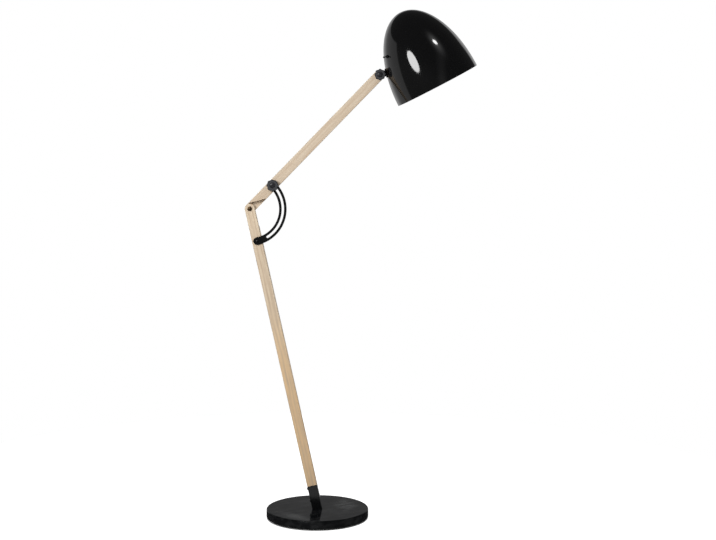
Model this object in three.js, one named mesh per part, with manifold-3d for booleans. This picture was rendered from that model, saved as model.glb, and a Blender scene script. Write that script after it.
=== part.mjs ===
// A floor lamp: a stone base, two wooden arms with a clamped elbow, and a domed shade that tilts.
// Millimetres, +Z up. The origin is the centre of the underside of the pad below the stone.
// The arms stand in the XZ plane, the shade leans out towards +X, and the knobs face -Y.

import * as THREE from 'three';
import { mergeVertices } from 'three/addons/utils/BufferGeometryUtils.js';
import Module from 'manifold-3d';

const wasm = await Module();
wasm.setup();

const degree = Math.PI / 180;

// Fits shared by all pieces
const seatGap = 0.3;
const boreGap = 0.3;
const overrun = 5;
const weldTolerance = 0.0001;

// Stone base and its pad
const baseDiameter = 300;
const stoneThickness = 24.6;
const stoneEdgeRadius = 3;
const padThickness = 2;
const padInset = 6;
const recessDiameter = 44;
const recessDepth = 13;

// Foot: stud, block and socket
const studDiameter = 12;
const studReach = 13;
const studTail = 2.5;
const footNutWidth = 19;
const footNutHeight = 7;
const footWasherDiameter = 36;
const footWasherThickness = 2.5;
const footBlockHeight = 18;
const socketLength = 71;
const socketWall = 2;
const socketCornerRadius = 2.5;
const lowFootScrewHeight = 26;
const highFootScrewHeight = 62;
const footScrewDiameter = 4;
const footScrewLength = 16;
const footScrewHeadDiameter = 8.5;
const footScrewHeadHeight = 3;
const footScrewKeyWidth = 3;
const footScrewKeyDepth = 1.6;

// Wooden arms, each measured between its two ends of rotation
const armWidth = 29;
const armDepth = 29;
const armEdgeRadius = 2;
const lowerArmLength = 905.26;
const lowerArmLean = 12.237 * degree;
const upperArmLength = 536;
const upperArmRise = 45.7 * degree;

// Half-lapped elbow
const lapClearance = 2.5;
const shoulderAngle = 31 * degree;
const elbowSpacerDiameter = 24;
const elbowSpacerThickness = 1;
const elbowBoltDiameter = 8;
const elbowHeadDiameter = 14;
const elbowHeadHeight = 4;
const elbowWasherDiameter = 20;
const elbowWasherThickness = 1.6;
const elbowNutWidth = 13;
const elbowNutHeight = 6.5;
const elbowNutDomeHeight = 5;
const elbowNutWall = 2;

// Slotted quadrant and its screw
const quadrantRadius = 95.5;
const quadrantWidth = 21.6;
const quadrantThickness = 3;
const slotLowAngle = 20 * degree;
const quadrantScrewDiameter = 4;
const quadrantScrewLength = 18;
const quadrantScrewHeadDiameter = 9;
const quadrantScrewHeadHeight = 2.6;
const quadrantScrewKerf = 1.2;
const quadrantScrewKerfDepth = 1.1;

// Bolts and washers of the two clamps
const clampBoltDiameter = 6;
const clampHeadDiameter = 15;
const clampHeadHeight = 3.5;
const clampWasherDiameter = 21;
const clampWasherThickness = 1.6;
const boltEndInKnob = 9;

// Lobed knobs
const clampKnobDiameter = 35;
const tiltKnobDiameter = 32.5;
const knobLobes = 8;
const knobLobeDepth = 1.7;
const knobNeckDiameter = 17;
const knobNeckHeight = 4;
const knobGripHeight = 9;
const knobBevel = 1.5;
const knobHubDiameter = 15;
const knobHubHeight = 2.2;
const knobDimpleDiameter = 4;
const knobDimpleDepth = 1;
const insertDiameter = 10;
const insertLength = 10;

// Tilt joint at the head
const tongueThickness = 5;
const tongueDiameter = 22;
const tongueNeckWidth = 17;
const tongueEndGap = 2;
const frictionWasherDiameter = 20;
const frictionWasherThickness = 1;

// Shade, half of a spheroid, and how it hangs on its pivot
const shadeRadius = 126;
const shadeHeight = 233;
const shadeWall = 1.2;
const shadeLean = 27.5 * degree;
const bracketHeight = 99.4;
const pivotStandoff = 18.3;

// Saddle of the bracket, its screws and nuts
const saddleLength = 26;
const saddleWidth = 26;
const saddleThickness = 2.5;
const saddleScrewSpacing = 16;
const saddleScrewDiameter = 3;
const saddleScrewHeadDiameter = 5.6;
const saddleScrewHeadDepth = 1.5;
const saddleNutWidth = 5.5;
const saddleNutHeight = 2.4;
const screwTail = 1;

// Strap and lamp holder inside the shade
const strapThickness = 2;
const strapWidth = 25;
const strapBarDrop = 43;
const nippleDiameter = 10;
const nippleBore = 7;
const nippleReach = 5;
const lockNutWidth = 14;
const lockNutHeight = 3;
const holderDiameter = 40;
const holderWall = 2;
const holderCapHeight = 20;
const holderCapTopDiameter = 26;
const holderSkirtHeight = 30;
const holderRingDiameter = 54;
const holderRingHeight = 6;
const holderRingDrop = 9;
const ceramicThickness = 9;
const screwShellDiameter = 29;
const screwShellWall = 0.8;

// Bulb
const bulbCapDiameter = 26;
const bulbCapLength = 22;
const bulbContactDiameter = 9;
const bulbContactHeight = 3;
const bulbCapRim = 0.5;
const bulbDiameter = 60;
const bulbLength = 78;
const bulbNeckDiameter = 24;
const bulbWall = 1;
const bulbShoulderShare = 2 / 3;
const bulbSwellAngle = 50 * degree;

// Toggle switch
const switchHeight = 139;
const switchAzimuth = 27 * degree;
const switchBodyLength = 20;
const switchBodyWidth = 13;
const switchBodyDepth = 14;
const switchBushDiameter = 6;
const switchBushReach = 5.5;
const switchBushBore = 4.4;
const switchNutWidth = 9;
const switchNutHeight = 2;
const switchPivotHeight = 3;
const leverBallDiameter = 5.4;
const leverStemDiameter = 2.4;
const leverRootDiameter = 3;
const leverReach = 14.5;
const leverThrow = 9 * degree;

// Grommet of the mains lead
const grommetHeight = 105;
const grommetAzimuth = 30 * degree;
const grommetFlangeDiameter = 15;
const grommetFlangeThickness = 2;
const grommetNeckDiameter = 9.4;
const grommetBore = 6.4;

// Facets: sides of a full turn, and steps along the shade's outline, the quadrant and a small arc
const shadeSides = 40;
const shadeSteps = 12;
const baseSides = 48;
const roundSides = 20;
const smallSides = 12;
const quadrantSteps = 16;
const arcSteps = 3;

// Places that follow from the sizes above
const stoneBottom = padThickness + seatGap;
const stoneTop = stoneBottom + stoneThickness;
const armHalf = armDepth / 2;
const lapHalfGap = elbowSpacerThickness / 2 + seatGap;
const elbowAngle = Math.PI - (Math.PI / 2 - upperArmRise) - lowerArmLean;
const slotWidth = clampBoltDiameter + 2 * boreGap;
const knobSeat = armHalf + clampWasherThickness + 2 * seatGap;
const clampKnobSeat = knobSeat + quadrantThickness + seatGap;
const forkHalfGap = tongueThickness / 2 + frictionWasherThickness + 2 * seatGap;
const strapBarHeight = shadeHeight - strapBarDrop;

const mount = wallPoint(bracketHeight);
const pivotInShade = {
  x: -(mount.radius + pivotStandoff * mount.out),
  z: bracketHeight + pivotStandoff * mount.up,
};

// Radius of the shade's outside at a height above its rim, with the outward direction there.
function wallPoint(height) {
  const radius = shadeRadius * Math.sqrt(1 - (height / shadeHeight) ** 2);
  const out = radius / shadeRadius ** 2;
  const up = height / shadeHeight ** 2;
  const length = Math.hypot(out, up);
  return { radius, out: out / length, up: up / length };
}

// Closed solid of a three.js geometry, with its faces turned outwards.
function solidOf(geometry) {
  const bare = geometry.index ? geometry.toNonIndexed() : geometry.clone();
  bare.deleteAttribute('normal');
  bare.deleteAttribute('uv');
  const welded = mergeVertices(bare, weldTolerance);
  const places = Float32Array.from(welded.attributes.position.array);
  const corners = [];
  let sixVolumes = 0;
  for (let i = 0; i < welded.index.count; i += 3) {
    const [a, b, c] = [0, 1, 2].map((k) => welded.index.getX(i + k));
    if (a === b || b === c || c === a) continue;
    corners.push(a, b, c);
    const [p, q, r] = [a, b, c].map((k) => new THREE.Vector3().fromArray(places, 3 * k));
    sixVolumes += p.dot(q.cross(r));
  }
  if (sixVolumes < 0) corners.reverse();
  return new wasm.Manifold(new wasm.Mesh({
    numProp: 3, vertProperties: places, triVerts: Uint32Array.from(corners),
  }));
}

// Geometry of a solid, for a mesh.
function geometryOf(solid) {
  const mesh = solid.getMesh();
  const geometry = new THREE.BufferGeometry();
  geometry.setAttribute('position', new THREE.BufferAttribute(mesh.vertProperties, mesh.numProp));
  geometry.setIndex(new THREE.BufferAttribute(mesh.triVerts, 1));
  const faceted = geometry.toNonIndexed();
  faceted.computeVertexNormals();
  return faceted;
}

// Solid turned about Z from a profile of [radius, height] points.
function turned(profile, sides = roundSides) {
  return solidOf(new THREE.LatheGeometry(pointsOf(profile), sides).rotateX(Math.PI / 2));
}

function closedLoop(profile) {
  return [...profile, profile[0]];
}

// Points of an arc about a centre, from one angle to another.
function arcPoints(centre, radii, from, to, steps = arcSteps) {
  return Array.from({ length: steps + 1 }, (_, i) => {
    const angle = from + ((to - from) * i) / steps;
    return [centre[0] + radii[0] * Math.cos(angle), centre[1] + radii[1] * Math.sin(angle)];
  });
}

function ring(innerDiameter, outerDiameter, bottom, top, sides = roundSides) {
  const inner = innerDiameter / 2;
  const outer = outerDiameter / 2;
  return turned(closedLoop([[inner, bottom], [outer, bottom], [outer, top], [inner, top]]), sides);
}

function rod(diameter, bottom, top, sides = roundSides) {
  const radius = diameter / 2;
  return turned([[0, bottom], [radius, bottom], [radius, top], [0, top]], sides);
}

// A rod along Y through a point of the XZ plane.
function crossRod(diameter, x, z, from, to, sides = roundSides) {
  return rod(diameter, from, to, sides).rotate([-90, 0, 0]).translate([x, 0, z]);
}

function block(width, depth, height) {
  return solidOf(new THREE.BoxGeometry(width, depth, height));
}

// Upright prism of a shape that is drawn in XY.
function prism(shape, bottom, top) {
  const geometry = new THREE.ExtrudeGeometry(shape, { depth: top - bottom, bevelEnabled: false });
  return solidOf(geometry).translate([0, 0, bottom]);
}

// Plate of a shape that is drawn in X and Z, from its near face at -Y to its far face.
function plate(shape, near, far) {
  const geometry = new THREE.ExtrudeGeometry(shape, { depth: far - near, bevelEnabled: false });
  return solidOf(geometry.rotateX(Math.PI / 2)).translate([0, far, 0]);
}

function pointsOf(pairs) {
  return pairs.map(([x, y]) => new THREE.Vector2(x, y));
}

function polygon(pairs) {
  return new THREE.Shape(pointsOf(pairs));
}

function roundedSquare(width, depth, radius) {
  const x = width / 2 - radius;
  const y = depth / 2 - radius;
  const corner = (centre, from) => arcPoints(centre, [radius, radius], from, from + Math.PI / 2);
  return polygon([
    ...corner([x, y], 0), ...corner([-x, y], Math.PI / 2),
    ...corner([-x, -y], Math.PI), ...corner([x, -y], 1.5 * Math.PI),
  ]);
}

function hexagon(width) {
  const corner = width / Math.sqrt(3);
  return polygon(Array.from({ length: 6 }, (_, i) => [
    corner * Math.cos((i * Math.PI) / 3), corner * Math.sin((i * Math.PI) / 3),
  ]));
}

function hexNut(width, bore, bottom, top) {
  const bored = rod(bore, bottom - overrun, top + overrun, smallSides);
  return prism(hexagon(width), bottom, top).subtract(bored);
}

// Screw or bolt with a domed head: the head stands up from z = 0, the shank hangs down.
function domedScrew(diameter, length, headDiameter, headHeight) {
  const dome = arcPoints([0, 0], [headDiameter / 2, headHeight], Math.PI / 2, 0);
  const radius = diameter / 2;
  return turned([...dome, [radius, 0], [radius, -length], [0, -length]], smallSides);
}

// Solid half spheroid that stands an offset outside the shade's outer face.
function shadeSolid(offset) {
  const radii = [shadeRadius + offset, shadeHeight + offset];
  const outline = arcPoints([0, 0], radii, Math.PI / 2, 0, shadeSteps);
  return turned([...outline, [0, 0]], shadeSides);
}

const finishes = {
  stone: { color: 0x2b2c2e, roughness: 0.15, metalness: 0 },
  felt: { color: 0x1b1b1c, roughness: 0.95, metalness: 0 },
  blackSteel: { color: 0x17181a, roughness: 0.4, metalness: 0.3 },
  wood: { color: 0xd8c3a0, roughness: 0.6, metalness: 0 },
  bronze: { color: 0x3a2c20, roughness: 0.4, metalness: 0.9 },
  zinc: { color: 0xa8abae, roughness: 0.35, metalness: 1 },
  blackPlastic: { color: 0x232528, roughness: 0.5, metalness: 0 },
  brass: { color: 0xb99a55, roughness: 0.35, metalness: 1 },
  fibre: { color: 0x2d2a28, roughness: 0.9, metalness: 0 },
  gloss: { color: 0x0c0c0e, roughness: 0.08, metalness: 0 },
  ceramic: { color: 0xe6e2d8, roughness: 0.3, metalness: 0 },
  glass: { color: 0xf2f1ea, roughness: 0.25, metalness: 0 },
  rubber: { color: 0x18181a, roughness: 0.85, metalness: 0 },
};

function piece(name, solid, finish) {
  const mesh = new THREE.Mesh(geometryOf(solid), new THREE.MeshStandardMaterial(finishes[finish]));
  mesh.name = name;
  return mesh;
}

// Stone base

function basePad() {
  return rod(baseDiameter - 2 * padInset, 0, padThickness, baseSides);
}

function baseStone() {
  const edge = baseDiameter / 2 - stoneEdgeRadius;
  const radii = [stoneEdgeRadius, stoneEdgeRadius];
  const recessTop = stoneBottom + recessDepth;
  const bore = studDiameter / 2 + boreGap;
  return turned(closedLoop([
    [recessDiameter / 2, stoneBottom],
    ...arcPoints([edge, stoneBottom + stoneEdgeRadius], radii, -Math.PI / 2, 0),
    ...arcPoints([edge, stoneTop - stoneEdgeRadius], radii, 0, Math.PI / 2),
    [bore, stoneTop],
    [bore, recessTop],
    [recessDiameter / 2, recessTop],
  ]), baseSides);
}

function footWasher() {
  const top = stoneBottom + recessDepth - seatGap;
  return ring(studDiameter + 2 * boreGap, footWasherDiameter, top - footWasherThickness, top);
}

function footNut() {
  const top = stoneBottom + recessDepth - footWasherThickness - 2 * seatGap;
  return hexNut(footNutWidth, studDiameter + 2 * boreGap, top - footNutHeight, top);
}

function footStud() {
  const nutBottom = stoneBottom + recessDepth - footWasherThickness - footNutHeight - 2 * seatGap;
  return rod(studDiameter, nutBottom - studTail, stoneTop + studReach, smallSides);
}

// Foot socket, in the frame of the lower arm: z = 0 lies on top of the stone

// Everything below the top of the stone, as the leaning frame of the lower arm sees it.
function belowStone() {
  const size = 2 * socketLength;
  return block(size, size, size).translate([0, 0, seatGap - size / 2])
    .rotate([0, lowerArmLean / degree, 0]);
}

function socketBore() {
  return armWidth - 2 * socketWall;
}

function footScrewCuts() {
  const shank = footScrewDiameter + 2 * boreGap;
  return [lowFootScrewHeight, highFootScrewHeight].map((height) => (
    rod(shank, -overrun, footScrewLength + overrun, smallSides)
      .rotate([0, 90, 0])
      .translate([-armWidth / 2, 0, height])));
}

function footSocket() {
  const outline = roundedSquare(armWidth, armDepth, socketCornerRadius);
  const bore = block(socketBore(), armDepth - 2 * socketWall, 4 * socketLength);
  const [lowCut, highCut] = footScrewCuts();
  return prism(outline, -armWidth, socketLength)
    .subtract(bore).subtract(belowStone()).subtract(lowCut).subtract(highCut);
}

function footBlock() {
  const width = socketBore() - 2 * seatGap;
  const depth = armDepth - 2 * (socketWall + seatGap);
  const tapped = rod(studDiameter + 2 * boreGap, -4 * footBlockHeight, 4 * footBlockHeight, smallSides)
    .rotate([0, lowerArmLean / degree, 0]);
  return block(width, depth, 2 * footBlockHeight).subtract(belowStone()).subtract(tapped);
}

function footScrew() {
  const key = prism(hexagon(footScrewKeyWidth), footScrewHeadHeight - footScrewKeyDepth,
    footScrewHeadHeight + overrun);
  return domedScrew(footScrewDiameter, footScrewLength, footScrewHeadDiameter, footScrewHeadHeight)
    .subtract(key);
}

// Wooden arms, each in its own frame with z along the stick and +X on the folding side

function roundedEnd(height) {
  const edge = armWidth / 2 - armEdgeRadius;
  const face = armHalf - armEdgeRadius;
  const radii = [armEdgeRadius, armEdgeRadius];
  const profile = [
    [0, -armHalf],
    ...arcPoints([edge, -face], radii, -Math.PI / 2, 0, 2),
    ...arcPoints([edge, face], radii, 0, Math.PI / 2, 2),
    [0, armHalf],
  ];
  return turned(profile, 2 * roundSides).rotate([90, 0, 0]).translate([0, 0, height]);
}

function stick(bottom, top) {
  return prism(roundedSquare(armWidth, armDepth, armEdgeRadius), bottom, top);
}

// The part of one half of a stick that the lap takes away, with the pivot at the origin and the
// stick along +Z. Its slanted side is the shoulder, a line that passes the round end of the other stick.
function lapCut(near, far) {
  const reach = armWidth / 2 + lapClearance;
  const heightAt = (x) => (reach + x * Math.cos(shoulderAngle)) / Math.sin(shoulderAngle);
  return plate(polygon([
    [-armWidth, -armWidth], [armWidth, -armWidth],
    [armWidth, heightAt(armWidth)], [-armWidth, heightAt(-armWidth)],
  ]), near, far);
}

function lowerArm() {
  const shoulder = socketLength + seatGap;
  const tenonWidth = socketBore() - 2 * seatGap;
  const tenonDepth = armDepth - 2 * (socketWall + seatGap);
  const tenonBottom = footBlockHeight + seatGap;
  const tenonTop = shoulder + overrun;
  const tenon = block(tenonWidth, tenonDepth, tenonTop - tenonBottom)
    .translate([0, 0, (tenonTop + tenonBottom) / 2]);
  const lap = lapCut(-armHalf - overrun, lapHalfGap).rotate([180, 0, 0])
    .translate([0, 0, lowerArmLength]);
  const pivotBore = crossRod(elbowBoltDiameter + 2 * boreGap, 0, lowerArmLength, -armDepth, armDepth);
  const screwBore = crossRod(quadrantScrewDiameter + 2 * boreGap, 0, lowerArmLength - quadrantRadius,
    -armDepth, quadrantScrewLength + overrun - armHalf, smallSides);
  const [lowCut, highCut] = footScrewCuts();
  return stick(shoulder, lowerArmLength).add(roundedEnd(lowerArmLength)).add(tenon)
    .subtract(lap).subtract(pivotBore).subtract(screwBore).subtract(lowCut).subtract(highCut);
}

function upperArm() {
  const lap = lapCut(-armHalf - overrun, lapHalfGap);
  const pivotBore = crossRod(elbowBoltDiameter + 2 * boreGap, 0, 0, -armDepth, armDepth);
  const clampBore = crossRod(slotWidth, 0, quadrantRadius, -armDepth, armDepth, smallSides);
  const tiltBore = crossRod(slotWidth, 0, upperArmLength, -armDepth, armDepth, smallSides);
  const forkDepth = tongueDiameter / 2 + tongueEndGap;
  const fork = block(2 * armWidth, 2 * forkHalfGap, 2 * armWidth)
    .translate([0, 0, upperArmLength - forkDepth + armWidth]);
  return stick(0, upperArmLength).add(roundedEnd(0)).add(roundedEnd(upperArmLength))
    .subtract(lap).subtract(pivotBore).subtract(clampBore).subtract(tiltBore).subtract(fork);
}

// Hardware on the joint axes. Each piece stands in a frame whose z points to the near side.

function elbowBolt() {
  const shankEnd = armDepth + elbowWasherThickness + elbowNutHeight + 3 * seatGap;
  return domedScrew(elbowBoltDiameter, shankEnd, elbowHeadDiameter, elbowHeadHeight)
    .translate([0, 0, armHalf + seatGap]);
}

function elbowSpacer() {
  const half = elbowSpacerThickness / 2;
  return ring(elbowBoltDiameter + 2 * boreGap, elbowSpacerDiameter, -half, half);
}

function elbowWasher() {
  const top = -armHalf - seatGap;
  return ring(elbowBoltDiameter + 2 * boreGap, elbowWasherDiameter, top - elbowWasherThickness, top);
}

function elbowCapNut() {
  const top = -armHalf - elbowWasherThickness - 2 * seatGap;
  const middle = top - elbowNutHeight;
  const domeRadius = elbowNutWidth / 2 - elbowNutWall / 2;
  const dome = turned([
    [0, middle + overrun / 2], [domeRadius, middle + overrun / 2],
    ...arcPoints([0, middle], [domeRadius, elbowNutDomeHeight], 0, -Math.PI / 2),
  ]);
  const boltEnd = armHalf + seatGap - (armDepth + elbowWasherThickness + elbowNutHeight + 3 * seatGap);
  const bore = rod(elbowBoltDiameter + 2 * boreGap, boltEnd - seatGap, top + overrun, smallSides);
  return prism(hexagon(elbowNutWidth), middle, top).add(dome).subtract(bore);
}

// Slotted quadrant about the elbow, in the frame of the lower arm with the pivot at the origin.
// Angles grow from the lower arm's direction towards the upper arm.
function arcBand(halfWidth, fromAngle, toAngle) {
  const from = fromAngle - Math.PI / 2;
  const to = toAngle - Math.PI / 2;
  const centreOf = (angle) => [quadrantRadius * Math.cos(angle), quadrantRadius * Math.sin(angle)];
  const outer = quadrantRadius + halfWidth;
  const inner = quadrantRadius - halfWidth;
  const end = [halfWidth, halfWidth];
  return [
    arcPoints([0, 0], [outer, outer], from, to, quadrantSteps),
    arcPoints(centreOf(to), end, to, to + Math.PI, 2 * arcSteps),
    arcPoints([0, 0], [inner, inner], to, from, quadrantSteps),
    arcPoints(centreOf(from), end, from + Math.PI, from + 2 * Math.PI, 2 * arcSteps),
  ].flatMap((points) => points.slice(1));
}

function quadrant() {
  const band = polygon(arcBand(quadrantWidth / 2, 0, elbowAngle));
  band.holes.push(new THREE.Path(pointsOf(arcBand(slotWidth / 2, slotLowAngle, elbowAngle))));
  const far = -armHalf - seatGap;
  const screwBore = crossRod(quadrantScrewDiameter + 2 * boreGap, 0, -quadrantRadius,
    -armDepth, 0, smallSides);
  return plate(band, far - quadrantThickness, far).subtract(screwBore);
}

function quadrantScrew() {
  const kerf = block(2 * quadrantScrewHeadDiameter, quadrantScrewKerf, 2 * quadrantScrewKerfDepth)
    .translate([0, 0, quadrantScrewHeadHeight]);
  return domedScrew(quadrantScrewDiameter, quadrantScrewLength, quadrantScrewHeadDiameter,
    quadrantScrewHeadHeight).subtract(kerf)
    .translate([0, 0, armHalf + quadrantThickness + 2 * seatGap]);
}

// Bolt of a clamp: its head lies on the far side and its end stands in the knob's insert.
function clampBolt(seat) {
  const headFace = -armHalf - clampWasherThickness - 2 * seatGap;
  const dome = arcPoints([0, headFace], [clampHeadDiameter / 2, clampHeadHeight], 0, -Math.PI / 2);
  const radius = clampBoltDiameter / 2;
  const end = seat + boltEndInKnob;
  return turned([[0, end], [radius, end], [radius, headFace], ...dome], smallSides);
}

function farWasher() {
  const top = -armHalf - seatGap;
  return ring(slotWidth, clampWasherDiameter, top - clampWasherThickness, top);
}

function nearWasher(seat) {
  const top = seat - seatGap;
  return ring(slotWidth, clampWasherDiameter, top - clampWasherThickness, top);
}

function knobInsert() {
  return ring(slotWidth, insertDiameter, 0, insertLength);
}

function lobedOutline(diameter) {
  const steps = 5 * knobLobes;
  return polygon(Array.from({ length: steps }, (_, i) => {
    const angle = (2 * Math.PI * i) / steps;
    const dip = (knobLobeDepth * (1 - Math.cos(knobLobes * angle))) / 2;
    const radius = diameter / 2 - knobBevel - dip;
    return [radius * Math.cos(angle), radius * Math.sin(angle)];
  }));
}

// Knob with a lobed grip, a neck towards the joint, a raised hub and a small dimple in it.
function lobedKnob(diameter) {
  const bevels = { bevelThickness: knobBevel, bevelSize: knobBevel, bevelSegments: 1 };
  const settings = { depth: knobGripHeight - 2 * knobBevel, ...bevels };
  const grip = solidOf(new THREE.ExtrudeGeometry(lobedOutline(diameter), settings))
    .translate([0, 0, knobNeckHeight + knobBevel]);
  const top = knobNeckHeight + knobGripHeight;
  const neck = rod(knobNeckDiameter, 0, knobNeckHeight + knobBevel);
  const hub = turned([
    [0, top - knobBevel], [knobHubDiameter / 2, top - knobBevel],
    ...arcPoints([0, top], [knobHubDiameter / 2, knobHubHeight], 0, Math.PI / 2),
  ]);
  const dimple = rod(knobDimpleDiameter, top + knobHubHeight - knobDimpleDepth, top + overrun, smallSides);
  const pocket = rod(insertDiameter + 2 * seatGap, -overrun, insertLength + seatGap);
  return grip.add(neck).add(hub).subtract(dimple).subtract(pocket);
}

function frictionWasher() {
  return ring(slotWidth, frictionWasherDiameter, 0, frictionWasherThickness);
}

// Head bracket and shade, in the frame of the shade: z = 0 lies on the rim

// Moves a solid that is built about the pivot, with +X towards the shade, to its place.
function fromPivot(solid) {
  const dip = Math.atan2(mount.up, mount.out) / degree;
  return solid.rotate([0, dip, 0]).translate([pivotInShade.x, 0, pivotInShade.z]);
}

// Turns a solid that is built on the shade's outside, with +Z outwards, and moves it to the mount.
function onMount(solid, y) {
  const dip = -Math.atan2(mount.out, mount.up) / degree;
  return solid.rotate([0, dip, 0]).translate([-mount.radius, y, bracketHeight]);
}

function sagAt(y) {
  return mount.radius - Math.sqrt(mount.radius ** 2 - y ** 2);
}

function saddleScrewPlaces() {
  return [-saddleScrewSpacing / 2, saddleScrewSpacing / 2];
}

function saddleScrewTop() {
  return saddleThickness + seatGap - sagAt(saddleScrewSpacing / 2) - seatGap;
}

// Countersunk screw, or the hole for it where a gap is given.
function countersunk(gap) {
  const top = saddleScrewTop();
  const shankEnd = saddleNutSeat() - saddleNutHeight - screwTail;
  const head = saddleScrewHeadDiameter / 2 + gap;
  const shank = saddleScrewDiameter / 2 + gap;
  const tall = gap > 0 ? overrun : 0;
  return turned([
    [0, top + tall], [head, top + tall], [head, top],
    [shank, top - saddleScrewHeadDepth], [shank, shankEnd - tall], [0, shankEnd - tall],
  ], smallSides);
}

function saddleNutSeat() {
  return -(shadeWall + strapThickness + 3 * seatGap + 2 * sagAt(saddleScrewSpacing / 2));
}

function headBracket() {
  const round = tongueDiameter / 2;
  const neck = polygon([
    ...arcPoints([0, 0], [round, round], Math.PI / 2, 1.5 * Math.PI, 3 * arcSteps),
    [pivotStandoff, -tongueNeckWidth / 2],
    [pivotStandoff, tongueNeckWidth / 2],
  ]);
  const half = tongueThickness / 2;
  const bore = crossRod(slotWidth, 0, 0, -armDepth, armDepth, smallSides);
  const tongue = fromPivot(plate(neck, -half, half).subtract(bore));
  const saddle = onMount(block(saddleLength, saddleWidth, 2 * armWidth), 0)
    .intersect(shadeSolid(seatGap + saddleThickness));
  const [left, right] = saddleScrewPlaces().map((y) => onMount(countersunk(boreGap), y));
  return tongue.add(saddle).subtract(shadeSolid(seatGap)).subtract(left).subtract(right);
}

function saddleNut() {
  const seat = saddleNutSeat();
  return hexNut(saddleNutWidth, saddleScrewDiameter + 2 * boreGap, seat - saddleNutHeight, seat);
}

// Places a solid that is built on the shade's outside, with +Z outwards, at a height and an angle
// from -X, where a positive angle turns to the near side.
function onWall(solid, height, azimuth) {
  const spot = wallPoint(height);
  return solid.rotate([0, Math.atan2(spot.out, spot.up) / degree, 0])
    .translate([spot.radius, 0, height])
    .rotate([0, 0, 180 + azimuth / degree]);
}

function shade() {
  const outer = [shadeRadius, shadeHeight];
  const inner = [shadeRadius - shadeWall, shadeHeight - shadeWall];
  const shell = turned([
    ...arcPoints([0, 0], outer, Math.PI / 2, 0, shadeSteps),
    ...arcPoints([0, 0], inner, 0, Math.PI / 2, shadeSteps),
  ], shadeSides);
  const [left, right] = saddleScrewPlaces().map((y) => (
    onMount(rod(saddleScrewDiameter + 2 * boreGap, -armWidth, armWidth, smallSides), y)));
  const switchBore = onWall(rod(switchBushDiameter + 2 * boreGap, -armWidth, armWidth, smallSides),
    switchHeight, switchAzimuth);
  const leadBore = onWall(rod(grommetNeckDiameter + 2 * boreGap, -armWidth, armWidth, smallSides),
    grommetHeight, -grommetAzimuth);
  return shell.subtract(left).subtract(right).subtract(switchBore).subtract(leadBore);
}

// Strap that follows the inside of the shade up from the bracket and crosses to the shade's axis.
function holderStrap() {
  const outside = shadeSolid(-shadeWall - seatGap);
  const bottom = bracketHeight - saddleLength / 2;
  const leg = block(shadeRadius, strapWidth, strapBarHeight - bottom)
    .translate([-shadeRadius / 2 - strapWidth, 0, (strapBarHeight + bottom) / 2])
    .subtract(shadeSolid(-shadeWall - seatGap - strapThickness));
  const barLength = shadeRadius + strapWidth / 2;
  const bar = block(barLength, strapWidth, strapThickness)
    .translate([strapWidth / 2 - barLength / 2, 0, strapBarHeight - strapThickness / 2]);
  const [left, right] = saddleScrewPlaces().map((y) => (
    onMount(rod(saddleScrewDiameter + 2 * boreGap, -armWidth, armWidth, smallSides), y)));
  const axisBore = rod(nippleDiameter + 2 * boreGap, 0, shadeHeight, smallSides);
  return leg.add(bar).intersect(outside).subtract(left).subtract(right).subtract(axisBore);
}

// Lamp holder and bulb, turned about the shade's axis and hanging from the strap's bar

const capTop = strapBarHeight - strapThickness - seatGap;
const capBottom = capTop - holderCapHeight;
const skirtTop = capBottom - seatGap;
const skirtBottom = skirtTop - holderSkirtHeight;
const ceramicTop = capBottom + holderWall;
const ceramicBottom = ceramicTop - ceramicThickness;

function holderNipple() {
  const bottom = capTop - holderWall - nippleReach;
  const top = strapBarHeight + lockNutHeight + 2 * seatGap;
  return ring(nippleBore, nippleDiameter, bottom, top, smallSides);
}

function holderLockNut() {
  const bottom = strapBarHeight + seatGap;
  return hexNut(lockNutWidth, nippleDiameter + 2 * boreGap, bottom, bottom + lockNutHeight);
}

function holderCap() {
  const outer = holderDiameter / 2;
  const top = holderCapTopDiameter / 2;
  const bore = nippleDiameter / 2 + boreGap;
  return turned(closedLoop([
    [outer, capBottom],
    ...arcPoints([top, capTop - (outer - top)], [outer - top, outer - top], 0, Math.PI / 2),
    [bore, capTop],
    [bore, capTop - holderWall],
    ...arcPoints([top, capTop - (outer - top)], [outer - top - holderWall, outer - top - holderWall],
      Math.PI / 2, 0),
    [outer - holderWall, capBottom],
  ]));
}

function holderCeramic() {
  return rod(holderDiameter - 2 * (holderWall + seatGap), ceramicBottom, ceramicTop);
}

function holderScrewShell() {
  return ring(screwShellDiameter - 2 * screwShellWall, screwShellDiameter,
    skirtBottom + holderWall, ceramicBottom - seatGap);
}

function holderSkirt() {
  const outer = holderDiameter / 2;
  return ring(2 * (outer - holderWall), 2 * outer, skirtBottom, skirtTop);
}

function holderRing() {
  const top = skirtTop - holderRingDrop;
  const inner = holderDiameter / 2 + seatGap;
  const outer = holderRingDiameter / 2;
  return turned(closedLoop([
    [inner, top - holderRingHeight], [outer, top - holderRingHeight],
    [outer, top - holderRingHeight / 2], [inner + holderWall, top], [inner, top],
  ]));
}

function bulbCap() {
  const top = ceramicBottom - seatGap;
  const thread = top - bulbContactHeight;
  const radius = bulbCapDiameter / 2;
  const contact = bulbContactDiameter / 2;
  return turned([
    [0, top], [contact, top], [contact + bulbContactHeight / 2, thread], [radius - bulbCapRim, thread],
    [radius, thread - bulbContactHeight], [radius, thread - bulbCapLength],
    [0, thread - bulbCapLength],
  ]);
}

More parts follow.
